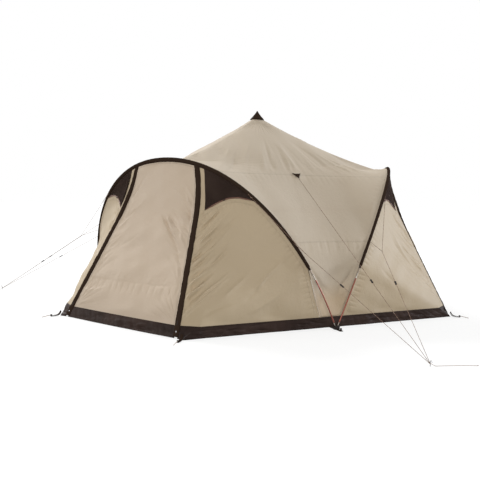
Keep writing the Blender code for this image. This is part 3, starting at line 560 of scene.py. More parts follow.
def strip_edge(height, share):
    way = unit((fold_at(np.minimum(height, STRIP_TOP)) - flap_edge(height)) * vec(1, 1, 0))
    return flap_edge(height, SEAM_GAP) + way * STRIP_WIDTH * share


def wall_point(share, height):
    """The wall between the window strip, share 0, and the arch leg, share 1. Straight across, plus a
    bulge over the fold whose flanks are joined by a soft minimum."""
    near, far = strip_edge(height, 1), wall_edge(height)
    fold = fold_at(height)
    share = np.clip(share, 1e-6, 1 - 1e-6)[..., None]
    reach_near, reach_far = norm((fold - near)[..., :2])[..., None], norm((fold - far)[..., :2])[..., None]
    at = np.clip(reach_near / (reach_near + reach_far), FOLD_FOOT_AT, 1 - 1e-6)
    bulge = (fold - mix(near, far, at)) * vec(1, 1, 0)
    bulge = np.where(height[..., None] >= FOLD_TOP, 0, bulge)
    sharp = mix(60, 4, np.clip(height / 0.40, 0, 1))[..., None]
    flank_near, flank_far = share / at, (1 - share) / (1 - at)
    low = np.minimum(flank_near, flank_far)
    blend = low * (1 + (low / np.maximum(flank_near, flank_far)) ** sharp) ** (-1 / sharp)
    return mix(near, far, share) + bulge * blend


def hem_height(share):
    return mix(HEM_INNER_HEIGHT, HEM_OUTER_HEIGHT, share) + 4 * HEM_RISE * share * (1 - share)


# %% The roof's profile, from the apex over the wing to the ground
WING_PATCH = vec(1.061, 1.378)
WING_LINE = np.vstack([
    bezier([(0, ROOF_APEX), (0.38, 1.885), (0.76, 1.665), WING_PATCH], np.linspace(0, 1, 101)),
    bezier([WING_PATCH, WING_PATCH + unit(vec(1, -0.93)) * 0.41, (WALL_RADIUS + 0.012, 0.95),
            (WALL_RADIUS - 0.008, 0.50)], np.linspace(0, 1, 101))[1:],
    [(WALL_RADIUS, 0)],
])[::-1]


def roof_height(radius):
    return ROOF_APEX - 0.5753 * radius + 0.1003 * radius ** 2


def wing_at(height):
    height = np.asarray(height, dtype=float)
    return np.stack([np.interp(height, WING_LINE[:, 1], WING_LINE[:, 0]), 0 * height, height], axis=-1)


print("arch", round(2 * ARCH_RUN[-1], 3), "m round, zip", round(run_of(ZIP_LINE)[-1], 3), "m long")


# %% [markdown]
# ## Folds
#
# Real cloth is never a clean surface. Three kinds of fold are enough for a tent: soft ripples, rays that
# run out from a point that is pulled, and single creases between two points. Each one gives a height for
# every point of a grid, and the cloth is then moved along its own normals. Rays and creases are measured
# in the mean plane of the cloth, so that they stay straight to the eye on a bulged panel.

# %% Fold helpers
def bell(x, width):
    """1 at 0, falling smoothly to nothing beyond the width: e to the minus square."""
    return np.exp(-(x / width) ** 2)


def ripple(a, b, size, seed, waves=7):
    """A sum of sines that run in random ways, with wavelengths near the size, about -1 to 1."""
    rng = np.random.default_rng(seed)
    ways, sizes = rng.uniform(0, math.pi, waves), size * rng.uniform(0.7, 1.5, waves)
    phases = rng.uniform(0, TURN, waves)
    turns = a[..., None] * np.cos(ways) / sizes + b[..., None] * np.sin(ways) / sizes
    return np.sin(TURN * turns + phases).sum(axis=-1) / math.sqrt(waves)


def pleats(phase, seed):
    """Uneven folds: the sine of a phase that is stretched here and squeezed there."""
    rng = np.random.default_rng(seed)
    swing = sum(rng.uniform(0.4, 1.1) * np.sin(phase * k + rng.uniform(0, 6.28))
                for k in (0.13, 0.23, 0.37))
    height = np.sin(phase + swing)
    return 0.6 * height + 0.4 * (1 - 2 * np.abs(height))


def flat_axes(points):
    """Two unit vectors in the mean plane of a grid, as columns: level, and up the slope."""
    normal = unit(outward(points).reshape(-1, 3).mean(axis=0))
    level = unit(np.cross(vec(0, 0, 1), normal))
    return np.stack([level, np.cross(normal, level)], axis=1)


def rays(points, source, seed, spacing):
    """Folds that run straight out of a source. The spacing is the angle between two of them."""
    flat = (points - source) @ flat_axes(points)
    middle = unit(flat.reshape(-1, 2).mean(axis=0))
    aside = flat @ np.array([-middle[1], middle[0]])
    return pleats(np.arctan2(aside, flat @ middle) / spacing * TURN, seed)


def smooth(x):
    x = np.clip(x, 0, 1)
    return x * x * (3 - 2 * x)


def creases(flat, table):
    """Single folds between pairs of points in the mean plane. Across its line a crease is a rounded
    cusp, e to the minus distance over width; it wanders a little and fades out to its ends."""
    lift = np.zeros(flat.shape[:-1])
    for start, end, width, height in table:
        run = end - start
        length = math.hypot(*run)
        share = ((flat - start) @ run) / length ** 2
        aside = (flat - start) @ np.array([-run[1], run[0]]) / length
        aside = aside + 0.5 * width * np.sin(6 * share + 40 * start[0])
        crest = np.exp(0.3 - np.sqrt((aside / width) ** 2 + 0.09))
        lift += height * crest * smooth(share * 5) * smooth((1 - share) * 1.5)
    return lift


def seen_folds(axes, table):
    """Rows of (start, end, width, height) in space, as the photograph shows them, laid in the plane."""
    return [(vec(*start) @ axes, vec(*end) @ axes, width, height) for start, end, width, height in table]


def strewn(seed, starts, way, spread, lengths, width, height):
    """One crease from each start in the plane, near a direction in degrees, with random sizes."""
    rng = np.random.default_rng(seed)
    rows = []
    for start in starts:
        turn = math.radians(way + rng.normal(0, spread))
        length = rng.uniform(*lengths)
        start = start + rng.normal(0, 0.008, 2)
        end = start + length * np.array([math.cos(turn), math.sin(turn)])
        size = height * rng.uniform(0.35, 1.0) * rng.choice([-1, 1])
        rows.append((start, end, width * rng.uniform(0.7, 1.5), size))
    return rows


def outward(points):
    """Unit normals of a grid, on the side away from the tent's middle."""
    down, over = np.gradient(points, axis=(0, 1))
    normal = unit(np.cross(over, down) + 1e-12)
    return normal * np.sign((normal * (points - MIDDLE)).sum())


def lifted(points, lift):
    return points + outward(points) * lift[..., None]


def joined(points, top, rows):
    """The grid, carried on from its last row to a row of points on the sleeve."""
    return np.concatenate([points, mix(points[-1], top, np.linspace(0, 1, rows)[1:, None, None])])


def above_zip(x):
    """Points on the sleeve at these distances from the door's middle, in line with the zip below."""
    at = run_at_x(x)
    return off_arch(at, on_arch(at) + ZIP_LINE[-12] - ZIP_TOP, SEWN)


def softened(points, rounds):
    """The grid with its inner points moved to the mean of their four neighbours, some rounds long."""
    points = points.copy()
    for _ in range(rounds):
        points[1:-1, 1:-1] = (points[:-2, 1:-1] + points[2:, 1:-1] + points[1:-1, :-2]
                              + points[1:-1, 2:]) / 4
    return points


# %% [markdown]
# ## From grids to pieces
#
# A cloth is a grid of points with two maps: the first unrolls the cloth in metres and carries the weave,
# the second gives the distance to the nearest stitched edge and the run along it, and carries the seams.
# Both are worked out from the points, so that stitches keep their size on any shape.

# %% Maps
def unrolled(points):
    """Run along the middle row and down the middle column, in metres."""
    across = np.linalg.norm(np.diff(points, axis=1), axis=-1).cumsum(axis=1)
    across = np.concatenate([0 * across[:, :1], across], axis=1)
    across = across - across[:, across.shape[1] // 2][:, None]
    middle = run_of(points[:, points.shape[1] // 2])
    return np.stack([across, np.broadcast_to(middle[:, None], across.shape)], axis=-1)


def beside(points, *lines):
    """Distance from the nearest of some lines, and the run along it."""
    flat = points.reshape(-1, 3)
    best = np.full((len(flat), 2), 1e3)
    for line in lines:
        run = run_of(line)
        fine = along(np.linspace(0, run[-1], 400), run, line)
        run = run_of(fine)
        way = unit(np.gradient(fine, axis=0))
        gaps = (flat ** 2).sum(1)[:, None] + (fine ** 2).sum(1) - 2 * flat @ fine.T
        near = gaps.argmin(axis=1)
        offset = flat - fine[near]
        ahead = (offset * way[near]).sum(axis=1)
        distance = np.linalg.norm(offset - way[near] * ahead[:, None], axis=1)
        closer = distance < best[:, 0]
        best[closer] = np.stack([distance, run[near] + ahead], axis=1)[closer]
    return best.reshape(*points.shape[:2], 2)


# %% Pieces
def mesh_of(name, grids, merge=1e-5, closed=False):
    """Grids of (points, weave map, seam map) as one mesh of quads, with shared edges merged."""
    points, faces, weave, seam, start = [], [], [], [], 0
    for grid, weave_map, seam_map in grids:
        rows, columns = grid.shape[:2]
        index = np.arange(rows * columns).reshape(rows, columns) + start
        quads = np.stack([index[:-1, :-1], index[1:, :-1], index[1:, 1:], index[:-1, 1:]], axis=-1)
        points.append(grid.reshape(-1, 3))
        faces.append(quads.reshape(-1, 4))
        weave.append(weave_map.reshape(-1, 2))
        seam.append(seam_map.reshape(-1, 2))
        start += rows * columns
    faces = np.vstack(faces)
    mesh = bpy.data.meshes.new(name)
    mesh.from_pydata(np.vstack(points), [], faces)
    for label, values in (("weave", np.vstack(weave)), ("seam", np.vstack(seam))):
        layer = mesh.uv_layers.new(name=label)
        layer.data.foreach_set("uv", values[faces.ravel()].astype(np.float32).ravel())
    bm = bmesh.new()
    bm.from_mesh(mesh)
    bmesh.ops.remove_doubles(bm, verts=bm.verts, dist=merge)
    if closed:
        bmesh.ops.recalc_face_normals(bm, faces=bm.faces)
    bm.to_mesh(mesh)
    bm.free()
    mesh.polygons.foreach_set("use_smooth", [True] * len(mesh.polygons))
    return mesh


def mapped(points, *lines):
    """The grid with its two maps, the second one measured from some lines."""
    return points, unrolled(points), beside(points, *lines)


def facing_out(grid):
    """The grid with its columns turned round where its quads would face inwards."""
    points = grid[0]
    down, over = np.gradient(points, axis=(0, 1))
    if (np.cross(down, over) * (points - MIDDLE)).sum() < 0:
        return tuple(part[:, ::-1] for part in grid)
    return grid


def piece(name, mesh, node, slot, *finishes, body="tent"):
    """An object that rides on a body and stands for a node of the CAD model."""
    obj = bpy.data.objects.new(name, mesh)
    bpy.context.scene.collection.objects.link(obj)
    for finish in finishes:
        mesh.materials.append(finish)
    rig.ride(obj, body)
    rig.replaces(obj, node)
    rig.slot(obj, slot)
    return obj


def cloth(name, grids, node, slot, *finishes, body="tent", thickness=0.0012):
    """A piece of cloth from grids of points, declared with its flat size."""
    grids = [facing_out(grid) for grid in grids]
    mesh = mesh_of(name, grids)
    obj = piece(name, mesh, node, slot, *finishes, body=body)
    area = sum(polygon.area for polygon in mesh.polygons)
    spans = [np.linalg.norm(np.diff(grid[0], axis=axis), axis=-1).sum(axis=axis).max()
             for grid in grids for axis in (0, 1)]
    length, width = max(spans[0::2]), max(spans[1::2])
    stretch = max(1.0, area / (width * length) * 1.002)
    if area / (width * stretch * length) > 0.3:
        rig.sheet(obj, (width * stretch, length), "stretched", area=area)
    print(name, "flat area", round(area, 3), "m2, cut from", round(width, 2), "x", round(length, 2))
    modifier = obj.modifiers.new("thickness", "SOLIDIFY")
    modifier.thickness, modifier.offset = thickness, 0.0
    return obj


def tube(name, path, radius, sides, aside=(0, 0, 1)):
    """A ring of points carried along a path and closed at both ends. The radius may change with the
    run and round the ring."""
    way = unit(np.gradient(path, axis=0))
    first = unit(np.cross(way, np.broadcast_to(vec(*aside), way.shape)))
    second = np.cross(way, first)
    turn = np.linspace(0, TURN, sides + 1)
    radius = np.broadcast_to(radius, (len(path), sides + 1))
    ring = first[:, None] * np.cos(turn)[:, None] + second[:, None] * np.sin(turn)[:, None]
    points = path[:, None] + ring * radius[..., None]
    run = np.broadcast_to(run_of(path)[:, None], points.shape[:2])
    over = np.broadcast_to(turn[None] * radius.max(), points.shape[:2])
    maps = np.stack([over, run], axis=-1)
    ends = [np.broadcast_to(path[i], (1, sides + 1, 3)) for i in (0, -1)]
    points = np.concatenate([ends[0], points, ends[1]])
    maps = np.concatenate([maps[:1], maps, maps[-1:]])
    return mesh_of(name, [(points, maps, maps)], 1e-6, closed=True)


# %% [markdown]
# ## Guy lines
#
# The lines come first, because they reach furthest from the tent. Each corner has one peg, and from its
# loop run the roof line, two lines to a small knot, and a loose tail. From each knot two short lines go
# to an arch leg. The real line is a braided cord of 3.5 mm with a pale fleck, so each run is a round
# tube along its path with a map along it, which the braid follows.

# %% Cord finish
BRAID_PITCH, FLECK_PITCH, BRAID_SLOPE = 0.004, 0.05, 570.0


def cord_material(name, colour, fleck, fleck_share):
    graph = Finish(name, colour, 0.75)
    over, run, _ = graph.split(graph.uv("weave"))
    turns = run * (TURN / BRAID_PITCH)
    braid = (turns + over * BRAID_SLOPE).sin() * (turns - over * BRAID_SLOPE).sin()
    pale = (run * (TURN / FLECK_PITCH) + over * (BRAID_SLOPE / 2)).sin().below(-0.2, -0.3) * fleck_share
    # The low cells of the braid, its grooves between strands, are painted darker: painted shade.
    base = graph.blend(tuple(0.62 * c for c in colour), colour, braid * 0.5 + 0.5)
    graph.feed(Base_Color=graph.blend(base, fleck, pale))
    graph.bump(braid, 0.0004)
    return graph.material


BROWN_CORD = cord_material("brown_cord", srgb(112, 78, 64), srgb(196, 176, 150), 0.35)
PALE_CORD = cord_material("pale_cord", srgb(196, 182, 168), srgb(150, 96, 78), 0.55)

# %% Places in a corner's own frame
PEG_DISTANCE, RING_HEIGHT, RING_RADIUS, RING_TUBE = 3.13, 0.020, 0.0061, 0.0022
LINE_RADIUS = 0.00175
TAIL_REACH = {"ab": (0.122, 0.332), "bc": (-0.22, 0.24), "ca": (0.122, 0.332)}
RING = vec(PEG_DISTANCE, 0, RING_HEIGHT)
PATCH_TIP = vec(WING_PATCH[0] + 0.012, 0, WING_PATCH[1])
YOKE = vec(WALL_RADIUS + 0.209, -0.398, 0.714)
LOW_HOLD, HIGH_HOLD = [
    spun(off_arch(run_at_height(height), spun(YOKE, -30), SEAT + 0.001), 30) for height in (0.784, 1.22)
]


def ring_end(start):
    return RING + unit((start - RING) * vec(1, 1, 0)) * RING_RADIUS


def straight(start, end, points=24):
    return mix(start, end, np.linspace(0, 1, points)[:, None])


def tail_path(reach):
    """A Bezier curve from the ring down to the ground and along it."""
    way = unit(vec(*reach, 0))
    start = RING + way * RING_RADIUS
    end = vec(PEG_DISTANCE + reach[0], reach[1], LINE_RADIUS)
    bow = vec(-way[1], way[0], 0) * 0.02
    path = bezier([start, start + way * 0.06 - vec(0, 0, 0.05), end - way * 0.13 + bow, end],
                  np.linspace(0, 1, 40))
    path[:, 2] = np.maximum(path[:, 2], LINE_RADIUS + 0.0004)
    return path


# %% Cord pieces
KNOT_SIZE = 0.0045


def knot(name, centre, finish, node):
    """An overhand knot: a cord carried along a trefoil curve."""
    t = np.linspace(0, TURN, 61)
    curve = np.stack([np.sin(t) + 2 * np.sin(2 * t), np.cos(t) - 2 * np.cos(2 * t), -1.4 * np.sin(3 * t)],
                     axis=-1) * (KNOT_SIZE * 0.22) + centre
    return piece(name, tube(name, curve, KNOT_SIZE * 0.36, 8), node, "line", finish)


def cord(name, path, finish, node, far_end, lay="taut", pieces=()):
    obj = piece(name, tube(name, path, LINE_RADIUS, 10), node, "line", finish)
    length = float(run_of(path)[-1])
    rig.cord(obj, exit=path[0], length=length, diameter=2 * LINE_RADIUS, far_end=far_end,
            stiffness="limp", lay=lay, path=path, with_pieces=pieces)
    print(name, round(length, 3), "m")


def loop(name, centre, radius, thickness, node):
    """A ring of pale cord: a small circle carried round a big one."""
    big, small = np.meshgrid(np.linspace(0, TURN, 25), np.linspace(TURN, 0, 11), indexing="ij")
    reach = radius + thickness * np.cos(small)
    points = np.stack([reach * np.cos(big), reach * np.sin(big), thickness * np.sin(small)], axis=-1)
    maps = np.stack([small * thickness, big * radius], axis=-1)
    piece(name, mesh_of(name, [(points + centre, maps, maps)]), node, "line", PALE_CORD)


for k, corner in enumerate(CORNERS):
    turn, node = 120 * k - 30, "guy_lines_" + corner
    loop("peg_loop_" + corner, spun(RING, turn), RING_RADIUS, RING_TUBE, node)
    roof_start = PATCH_TIP - unit(ring_end(PATCH_TIP) - PATCH_TIP) * 0.006
    cord(f"roof_line_{corner}", spun(straight(roof_start, ring_end(PATCH_TIP)), turn), BROWN_CORD, node,
         "object")
    tail = spun(tail_path(TAIL_REACH[corner]), turn)
    end = knot(f"tail_knot_{corner}", tail[-1] + vec(0, 0, 0.0024), PALE_CORD, node)
    cord(f"tail_{corner}", tail, PALE_CORD, node, "knot", "loose", [end])
    for label, sign in (("near", 1), ("far", -1)):
        flip = vec(1, sign, 1)
        yoke = YOKE * flip
        tie = knot(f"yoke_knot_{corner}_{label}", spun(yoke, turn), BROWN_CORD, node)
        cord(f"leg_line_{corner}_{label}", spun(straight(yoke, ring_end(yoke)), turn), BROWN_CORD, node,
             "object")
        for part, hold, ring_at, pieces in (("low", LOW_HOLD, 0.11, [tie]), ("high", HIGH_HOLD, 0.045, ())):
            cord(f"hold_{corner}_{label}_{part}", spun(straight(hold * flip, yoke), turn), BROWN_CORD, node,
                 "knot", "taut", pieces)
            spot = spun((hold + unit(YOKE - hold) * ring_at) * flip, turn)
            loop(f"hold_ring_{corner}_{label}_{part}", spot, 0.0085, 0.0018, node)


# %% [markdown]
# ## Cloth finishes
#
# The tent is sewn from a cotton mix. Close up it shows a plain weave with thicker threads here and there,
# from afar a soft, slightly blotchy beige. Seams show as a double row of stitches beside a raised lap.
# The weave follows the unrolled map, the seams follow the seam map, and both lift the surface through a
# Bump node.

# %% Woven cloth
STITCH_PITCH = 0.0045


def cloth_material(name, colour, lap_at=(0.012,), lap_half=0.006, rough=0.62, deep=0.72, seam_heights=(),
                   weave_size=0.0016, blotch=0.05, shine=0.55, bands=()):
    """Cloth of one colour. Laps run at the given distances from the stitched edges, and across the
    cloth at the seam heights. Bands of (height, half, softness, colour, share) tint the cloth by height
    with painted light and shade: painted shade where a band darkens it, painted fill light where it lightens it."""
    graph = Finish(name, colour, rough, Specular_IOR_Level=shine)
    weave_map = graph.uv("weave")
    over, run, _ = graph.split(weave_map)
    distance, along_seam, _ = graph.split(graph.uv("seam"))
    place = graph.place()
    height = graph.split(place)[2]
    weave = (over * (TURN / weave_size)).sin() * (run * (TURN / weave_size)).sin()
    slub_over, slub_run = [graph.noise(graph.stretched(weave_map, scale), 1.0)
                           for scale in ((14.0, 420.0, 1.0), (420.0, 14.0, 1.0))]
    slub = slub_over + slub_run - 1.0
    cloud = graph.noise(place, 1.7, 4.0, 0.6) - 0.5
    crumple = graph.noise(place, 26.0, 5.0, 0.62, 0.6)
    tone = slub * 0.35 + cloud * (blotch * 6) + weave * 0.03 + 0.5
    dark = tuple(c * (1 - blotch * 2.2) for c in colour)
    light = tuple(min(1.0, c * (1 + blotch * 2.2)) for c in colour)
    base = graph.blend(dark, light, tone)
    # Each band paints light or shade into the colour, by height.
    for level, half, soft, tint, share in bands:
        base = graph.blend(base, tint, height.line(level, half, soft) * share)
    relief = weave * 0.06 + slub * 0.22 + crumple * 2.6
    seams = [(distance, at) for at in lap_at] + [(height, level) for level in seam_heights]
    if seams:
        lap = sum(source.line(at, lap_half, 0.0015) for source, at in seams)
        rows = sum(source.line(at + side * lap_half, 0.0007, 0.0006) for source, at in seams
                   for side in (-0.6, 0.6))
        stitches = rows * (along_seam * (TURN / STITCH_PITCH)).sin().below(0.55, 0.3)
        base = graph.blend(base, tuple(c * deep for c in colour), lap * 0.42)
        base = graph.blend(base, tuple(c * 0.55 for c in colour), stitches * 0.8)
        relief = relief + lap * 0.9 - stitches * 0.5
    graph.feed(Base_Color=base, Roughness=cloud * 0.10 + rough)
    graph.bump(relief, 0.0011)
    return graph.material


# A yellower tone low on the roof wing, like the wall cloth beside it, made lighter as painted fill light against the
# shade of the wing's hollow.
LOW_WING_TONE_AND_FILL = srgb(190, 171, 145)
# The roof's first band is painted shade: a darker, pinker band round 1.08 m on the wing, where its hollow is in shade
# and takes warm reflected light.
ROOF_CLOTH = cloth_material(
    "roof_cloth_finish", srgb(189, 176, 157), seam_heights=(1.42, 0.79), lap_at=(0.022,), deep=0.90,
    rough=0.75, shine=0.25,
    bands=((1.08, 0.05, 0.30, srgb(178, 160, 140), 0.75), (0.0, 0.42, 0.16, LOW_WING_TONE_AND_FILL, 1)))
# Its band is painted shade that darkens the door cloth towards its foot.
DOOR_CLOTH = cloth_material("door_cloth_finish", srgb(194, 177, 157), lap_at=(0.030,),
                            bands=((0.0, 0.30, 0.44, srgb(165, 149, 130), 1.0),))
# Its band is painted shade that darkens the wall cloth towards its foot.
WALL_CLOTH = cloth_material("wall_cloth_finish", srgb(181, 164, 137), lap_at=(0.036,), deep=0.92,
                            bands=((0.0, 0.30, 0.50, srgb(161, 145, 117), 1.0),))
DARK_CLOTH = cloth_material("dark_cloth_finish", srgb(54, 43, 36), lap_at=(0.005,), lap_half=0.002,
                            rough=0.9, weave_size=0.0022, blotch=0.08, shine=0.0)
GROUND_CLOTH = cloth_material("ground_cloth_finish", srgb(50, 39, 35), lap_at=(0.008,), lap_half=0.004,
                              rough=0.55, weave_size=0.003, blotch=0.34, shine=0.07)


# %% [markdown]
# ## Roof panels
#
# One panel spans from ridge to ridge over a corner, and runs down between two arches as a wing. Its rows
# run from the apex down: first between the two ridges, then between the two arch poles. Each row is a
# parabola over the middle profile. The cloth hangs from the apex in soft pleats, puckers along its two
# cross seams, and is drawn into rays by the arch tops.

# %% Roof shape
ROOF_CREASES = 54


def roof_rows():
    """Edge points, on side a's edge of corner ab, and the heights of the middle, row by row."""
    radii = np.linspace(ROOF_HOLE, RIDGE_END, 96)
    ridge = np.stack([0 * radii, -radii, roof_height(radii)], axis=-1)
    runs = np.linspace(0, run_at_height(SLEEVE_END_HEIGHT), 110)
    arch = on_arch(runs)
    flat_run = ARCH_TOP_DISTANCE - RIDGE_BEND + run_of(arch * vec(1, 1, 0))
    total = np.interp(-WING_TOP, -arch[:, 2], flat_run)
    start = roof_height(RIDGE_BEND)
    ridge_middle = np.where(radii < RIDGE_BEND, ridge[:, 2],
                            mix(start, WING_TOP, (radii - RIDGE_BEND) / total))
    arch_middle = np.where(arch[:, 2] > WING_TOP, mix(start, WING_TOP, flat_run / total), arch[:, 2])
    middle, edge = wing_at(arch_middle), spun(arch, 30)
    loose = np.stack([mix(middle[:, 0], edge[:, 0], 0.5625), 0.75 * edge[:, 1],
                      mix(middle[:, 2], edge[:, 2], 0.5625)], axis=-1)
    seated = turned_in(runs, spun(loose, -30), -ALONG_WALL)
    hidden = seated + unit(arch - seated) * 0.004
    low = np.linspace(SLEEVE_END_HEIGHT, SKIRT_HEIGHT, 26)[1:]
    seam = mix(WING_FOOT - ALONG_WALL * SEAM_GAP, hidden[-1], (low / hidden[-1, 2])[:, None])
    edges = np.vstack([ridge, hidden, seam])
    heights = np.concatenate([ridge_middle, arch_middle, low])
    soft = np.convolve(np.pad(heights, 6, mode="edge"), np.hanning(15)[1:-1] / np.hanning(15).sum(),
                       mode="same")[6:-6]
    heights[8:-8] = soft[8:-8]
    return edges, heights


def roof_panel(seed):
    edges, heights = roof_rows()
    edges, middle = spun(edges, 30), wing_at(heights)
    q = np.linspace(-1, 1, 161)
    points = mix(middle[:, None], edges[:, None], q[None, :, None] ** 2)
    points[..., 1] = -q * edges[:, 1][:, None]
    x, y, z = np.moveaxis(points, -1, 0)
    slant, bearing = norm(points - vec(0, 0, ROOF_APEX)), np.arctan2(y, x)
    axes = flat_axes(points)
    flat = points @ axes
    lift = 0.0090 * ripple(y, z * 1.4 + x, 0.62, seed)
    lift += 0.0035 * ripple(y * 1.2, z + x, 0.26, seed + 6)
    lift += 0.0022 * pleats(bearing * 52, seed + 2) * bell(slant - 0.25, 0.14)
    for level, depth, pitch in ((WING_TOP, 0.0020, 0.062), (0.75, 0.0030, 0.105)):
        lift += depth * pleats(y * TURN / pitch, seed + 3) * bell(z - level, 0.05) * bell(x - 1.2, 0.9)
        lift -= 0.0014 * bell(z - level - 0.02, 0.012)
    rng = np.random.default_rng(seed + 7)
    seam_row = points[(z > 1.41) & (z < 1.47) & (np.abs(y) < 1.05)]
    starts = seam_row[rng.integers(0, len(seam_row), ROOF_CREASES)]
    aims = starts * vec(0, 0.2, 0) + vec(0, 0, 2.0)
    ends = mix(starts, aims, rng.uniform(0.32, 0.80, (ROOF_CREASES, 1)))
    sizes = rng.uniform(0.0030, 0.0082, ROOF_CREASES) * rng.choice([-1, 1], ROOF_CREASES)
    widths = rng.uniform(0.015, 0.024, ROOF_CREASES)
    lift += creases(flat, seen_folds(axes, zip(starts, ends, widths, sizes)))
    for hand in (1, -1):
        flip = vec(1, hand, 1)
        top = spun(ARCH[0], 30) * flip
        reach = norm(points - top)
        lift -= 0.021 * bell(reach - 0.09, 0.085)
        lift += 0.0045 * rays(points, top, seed + 4, 0.105) * bell(reach - 0.24, 0.24)
        crown = bell(reach - 0.62, 0.26) * bell(z - 1.58, 0.17)
        lift += 0.0018 * rays(points, top, seed + 8 + hand, 0.070) * crown
        wing = bell(reach - 0.5, 0.3) * bell(z - 1.22, 0.16)
        lift += 0.0048 * rays(points, top, seed + 11 + hand, 0.090) * wing
        held = spun(on_arch(run_at_height(SLEEVE_END_HEIGHT)), 30) * flip
        starts = np.stack([held @ axes + np.array([0.01 * hand, 0.03 - 0.02 * k]) for k in range(10)])
        lift += creases(flat, strewn(seed + 14, starts, 270 + hand * 50, 20, (0.14, 0.36), 0.014, 0.0170))
    seam = beside(points, edges, edges * vec(1, -1, 1))
    lift += 0.0030 * pleats(seam[..., 1] * TURN / 0.06, seed + 5) * bell(seam[..., 0] - 0.05, 0.05)
    free = np.clip(seam[..., 0] / 0.06, 0, 1) * np.clip((slant - 0.03) / 0.12, 0, 1)
    free = free * np.clip((z - SKIRT_HEIGHT) / 0.08, 0, 1)
    free = free * (1 - bell(norm(points - wing_at(WING_PATCH[1] + 0.03)), 0.07))
    points = lifted(points, lift * free)
    return points, unrolled(points), seam


for k, corner in enumerate(CORNERS):
    points, *maps = roof_panel(40 + 7 * k)
    cloth("roof_" + corner, [(spun(points, 120 * k - 30), *maps)], "roof_panel_" + corner, "roof_cloth",
          ROOF_CLOTH)


# %% Roof patches
def roof_patch():
    """A triangle of dark cloth with hollow sides: its half width falls with a power of the way to its
    tip, where the roof line draws it off the roof."""
    way = np.linspace(0, 1, 24)[:, None]
    over = np.linspace(-1, 1, 21)[None]
    half = 0.049 * (1 - way) ** 1.15 + 0.0022
    middle = wing_at(WING_PATCH[1] + 0.058 * (1 - way[:, 0]))
    slope = unit(wing_at(WING_PATCH[1] + 0.058) - wing_at(WING_PATCH[1]))
    normal = vec(slope[2], 0, -slope[0])
    lift = 0.0050 + 0.0085 * way ** 2 + 0.0012 * np.sin(over * 7 + way * 5) * (1 - way)
    hollow = 0.011 * (1 - over ** 2) * (1 - way) ** 2
    points = middle[:, None] + normal * lift[..., None] - slope * hollow[..., None]
    points[..., 1] = over * half
    return points


for k, corner in enumerate(CORNERS):
    points = roof_patch()
    maps = unrolled(points), beside(points, points[:, 0], points[:, -1], points[0])
    cloth("roof_patch_" + corner, [(spun(points, 120 * k - 30), *maps)], "guy_lines_" + corner,
          "dark_cloth", DARK_CLOTH)


# %% [markdown]
# ## Doors
#
# A door hangs from the arch between two zips, a little bulged. Its foot is a band of the dark ground
# cloth. The photograph shows three long soft folds beside the right zip, a crease band low down, where
# the door was folded in its bag, and folds that fan out of the lower corners.

# %% Door shape
DOOR_LAP = 0.012


def door_point(q, height):
    """The door's face: q runs from -1 to 1 between the zips, over a parabola that stands out."""
    edge = zip_at(height) + door_side(height) * (FLAP_HALF - DOOR_LAP)
    return np.stack([q * edge[..., 0], edge[..., 1] - door_bulge(height) * (1 - q * q),
                     height + 0 * q], axis=-1)


DOOR_FOLDS = (
    # start, end, width, height
    ((0.073, -1.625, 1.023), (0.540, -1.810, 0.600), 0.013, -0.0270),
    ((0.130, -1.625, 1.020), (0.500, -1.760, 0.690), 0.011, 0.0160),
    ((0.178, -1.625, 1.016), (0.530, -1.733, 0.740), 0.012, -0.0190),
    ((0.193, -1.600, 1.073), (0.493, -1.678, 0.864), 0.010, -0.0120),
    ((0.269, -1.534, 1.271), (0.395, -1.558, 1.130), 0.009, -0.0055),
    ((0.320, -1.780, 0.650), (0.560, -1.850, 0.500), 0.012, -0.0060),
    ((-0.502, -1.802, 0.615), (-0.300, -1.720, 0.800), 0.014, 0.0085),
    ((-0.340, -1.764, 0.690), (-0.080, -1.714, 0.850), 0.013, -0.0060),
    ((-0.380, -1.644, 0.930), (-0.240, -1.587, 1.120), 0.010, -0.0095),
    ((-0.349, -1.617, 1.010), (-0.150, -1.574, 1.170), 0.010, 0.0060),
    ((-0.660, -1.977, 0.240), (-0.220, -1.951, 0.340), 0.015, 0.0090),
    ((-0.640, -2.030, 0.140), (-0.300, -2.010, 0.200), 0.012, 0.0060),
    ((-0.620, -1.915, 0.390), (-0.110, -1.930, 0.370), 0.010, -0.0075),
    ((-0.240, -1.930, 0.375), (0.300, -1.920, 0.392), 0.009, -0.0070),
    ((0.150, -1.920, 0.385), (0.660, -1.910, 0.400), 0.010, -0.0070),
)


def foot_folds(flat, span, seed):
    """Long low wrinkles along the dark foot, from points of (run, height) in metres."""
    rng = np.random.default_rng(seed)
    count = int((span[1] - span[0]) * 26)
    starts = np.stack([rng.uniform(*span, count), rng.uniform(0.008, 0.092, count)], axis=-1)
    height = np.clip(flat[..., 1] / SKIRT_HEIGHT, 0, 1)
    lift = creases(flat, strewn(seed + 1, starts, 0, 9, (0.10, 0.50), 0.0080, 0.0105))
    lift += 0.0022 * pleats(flat[..., 0] * TURN / 0.11 + flat[..., 1] * 30, seed + 2)
    return lift * np.sin(math.pi * (0.12 + 0.88 * height)) ** 0.7


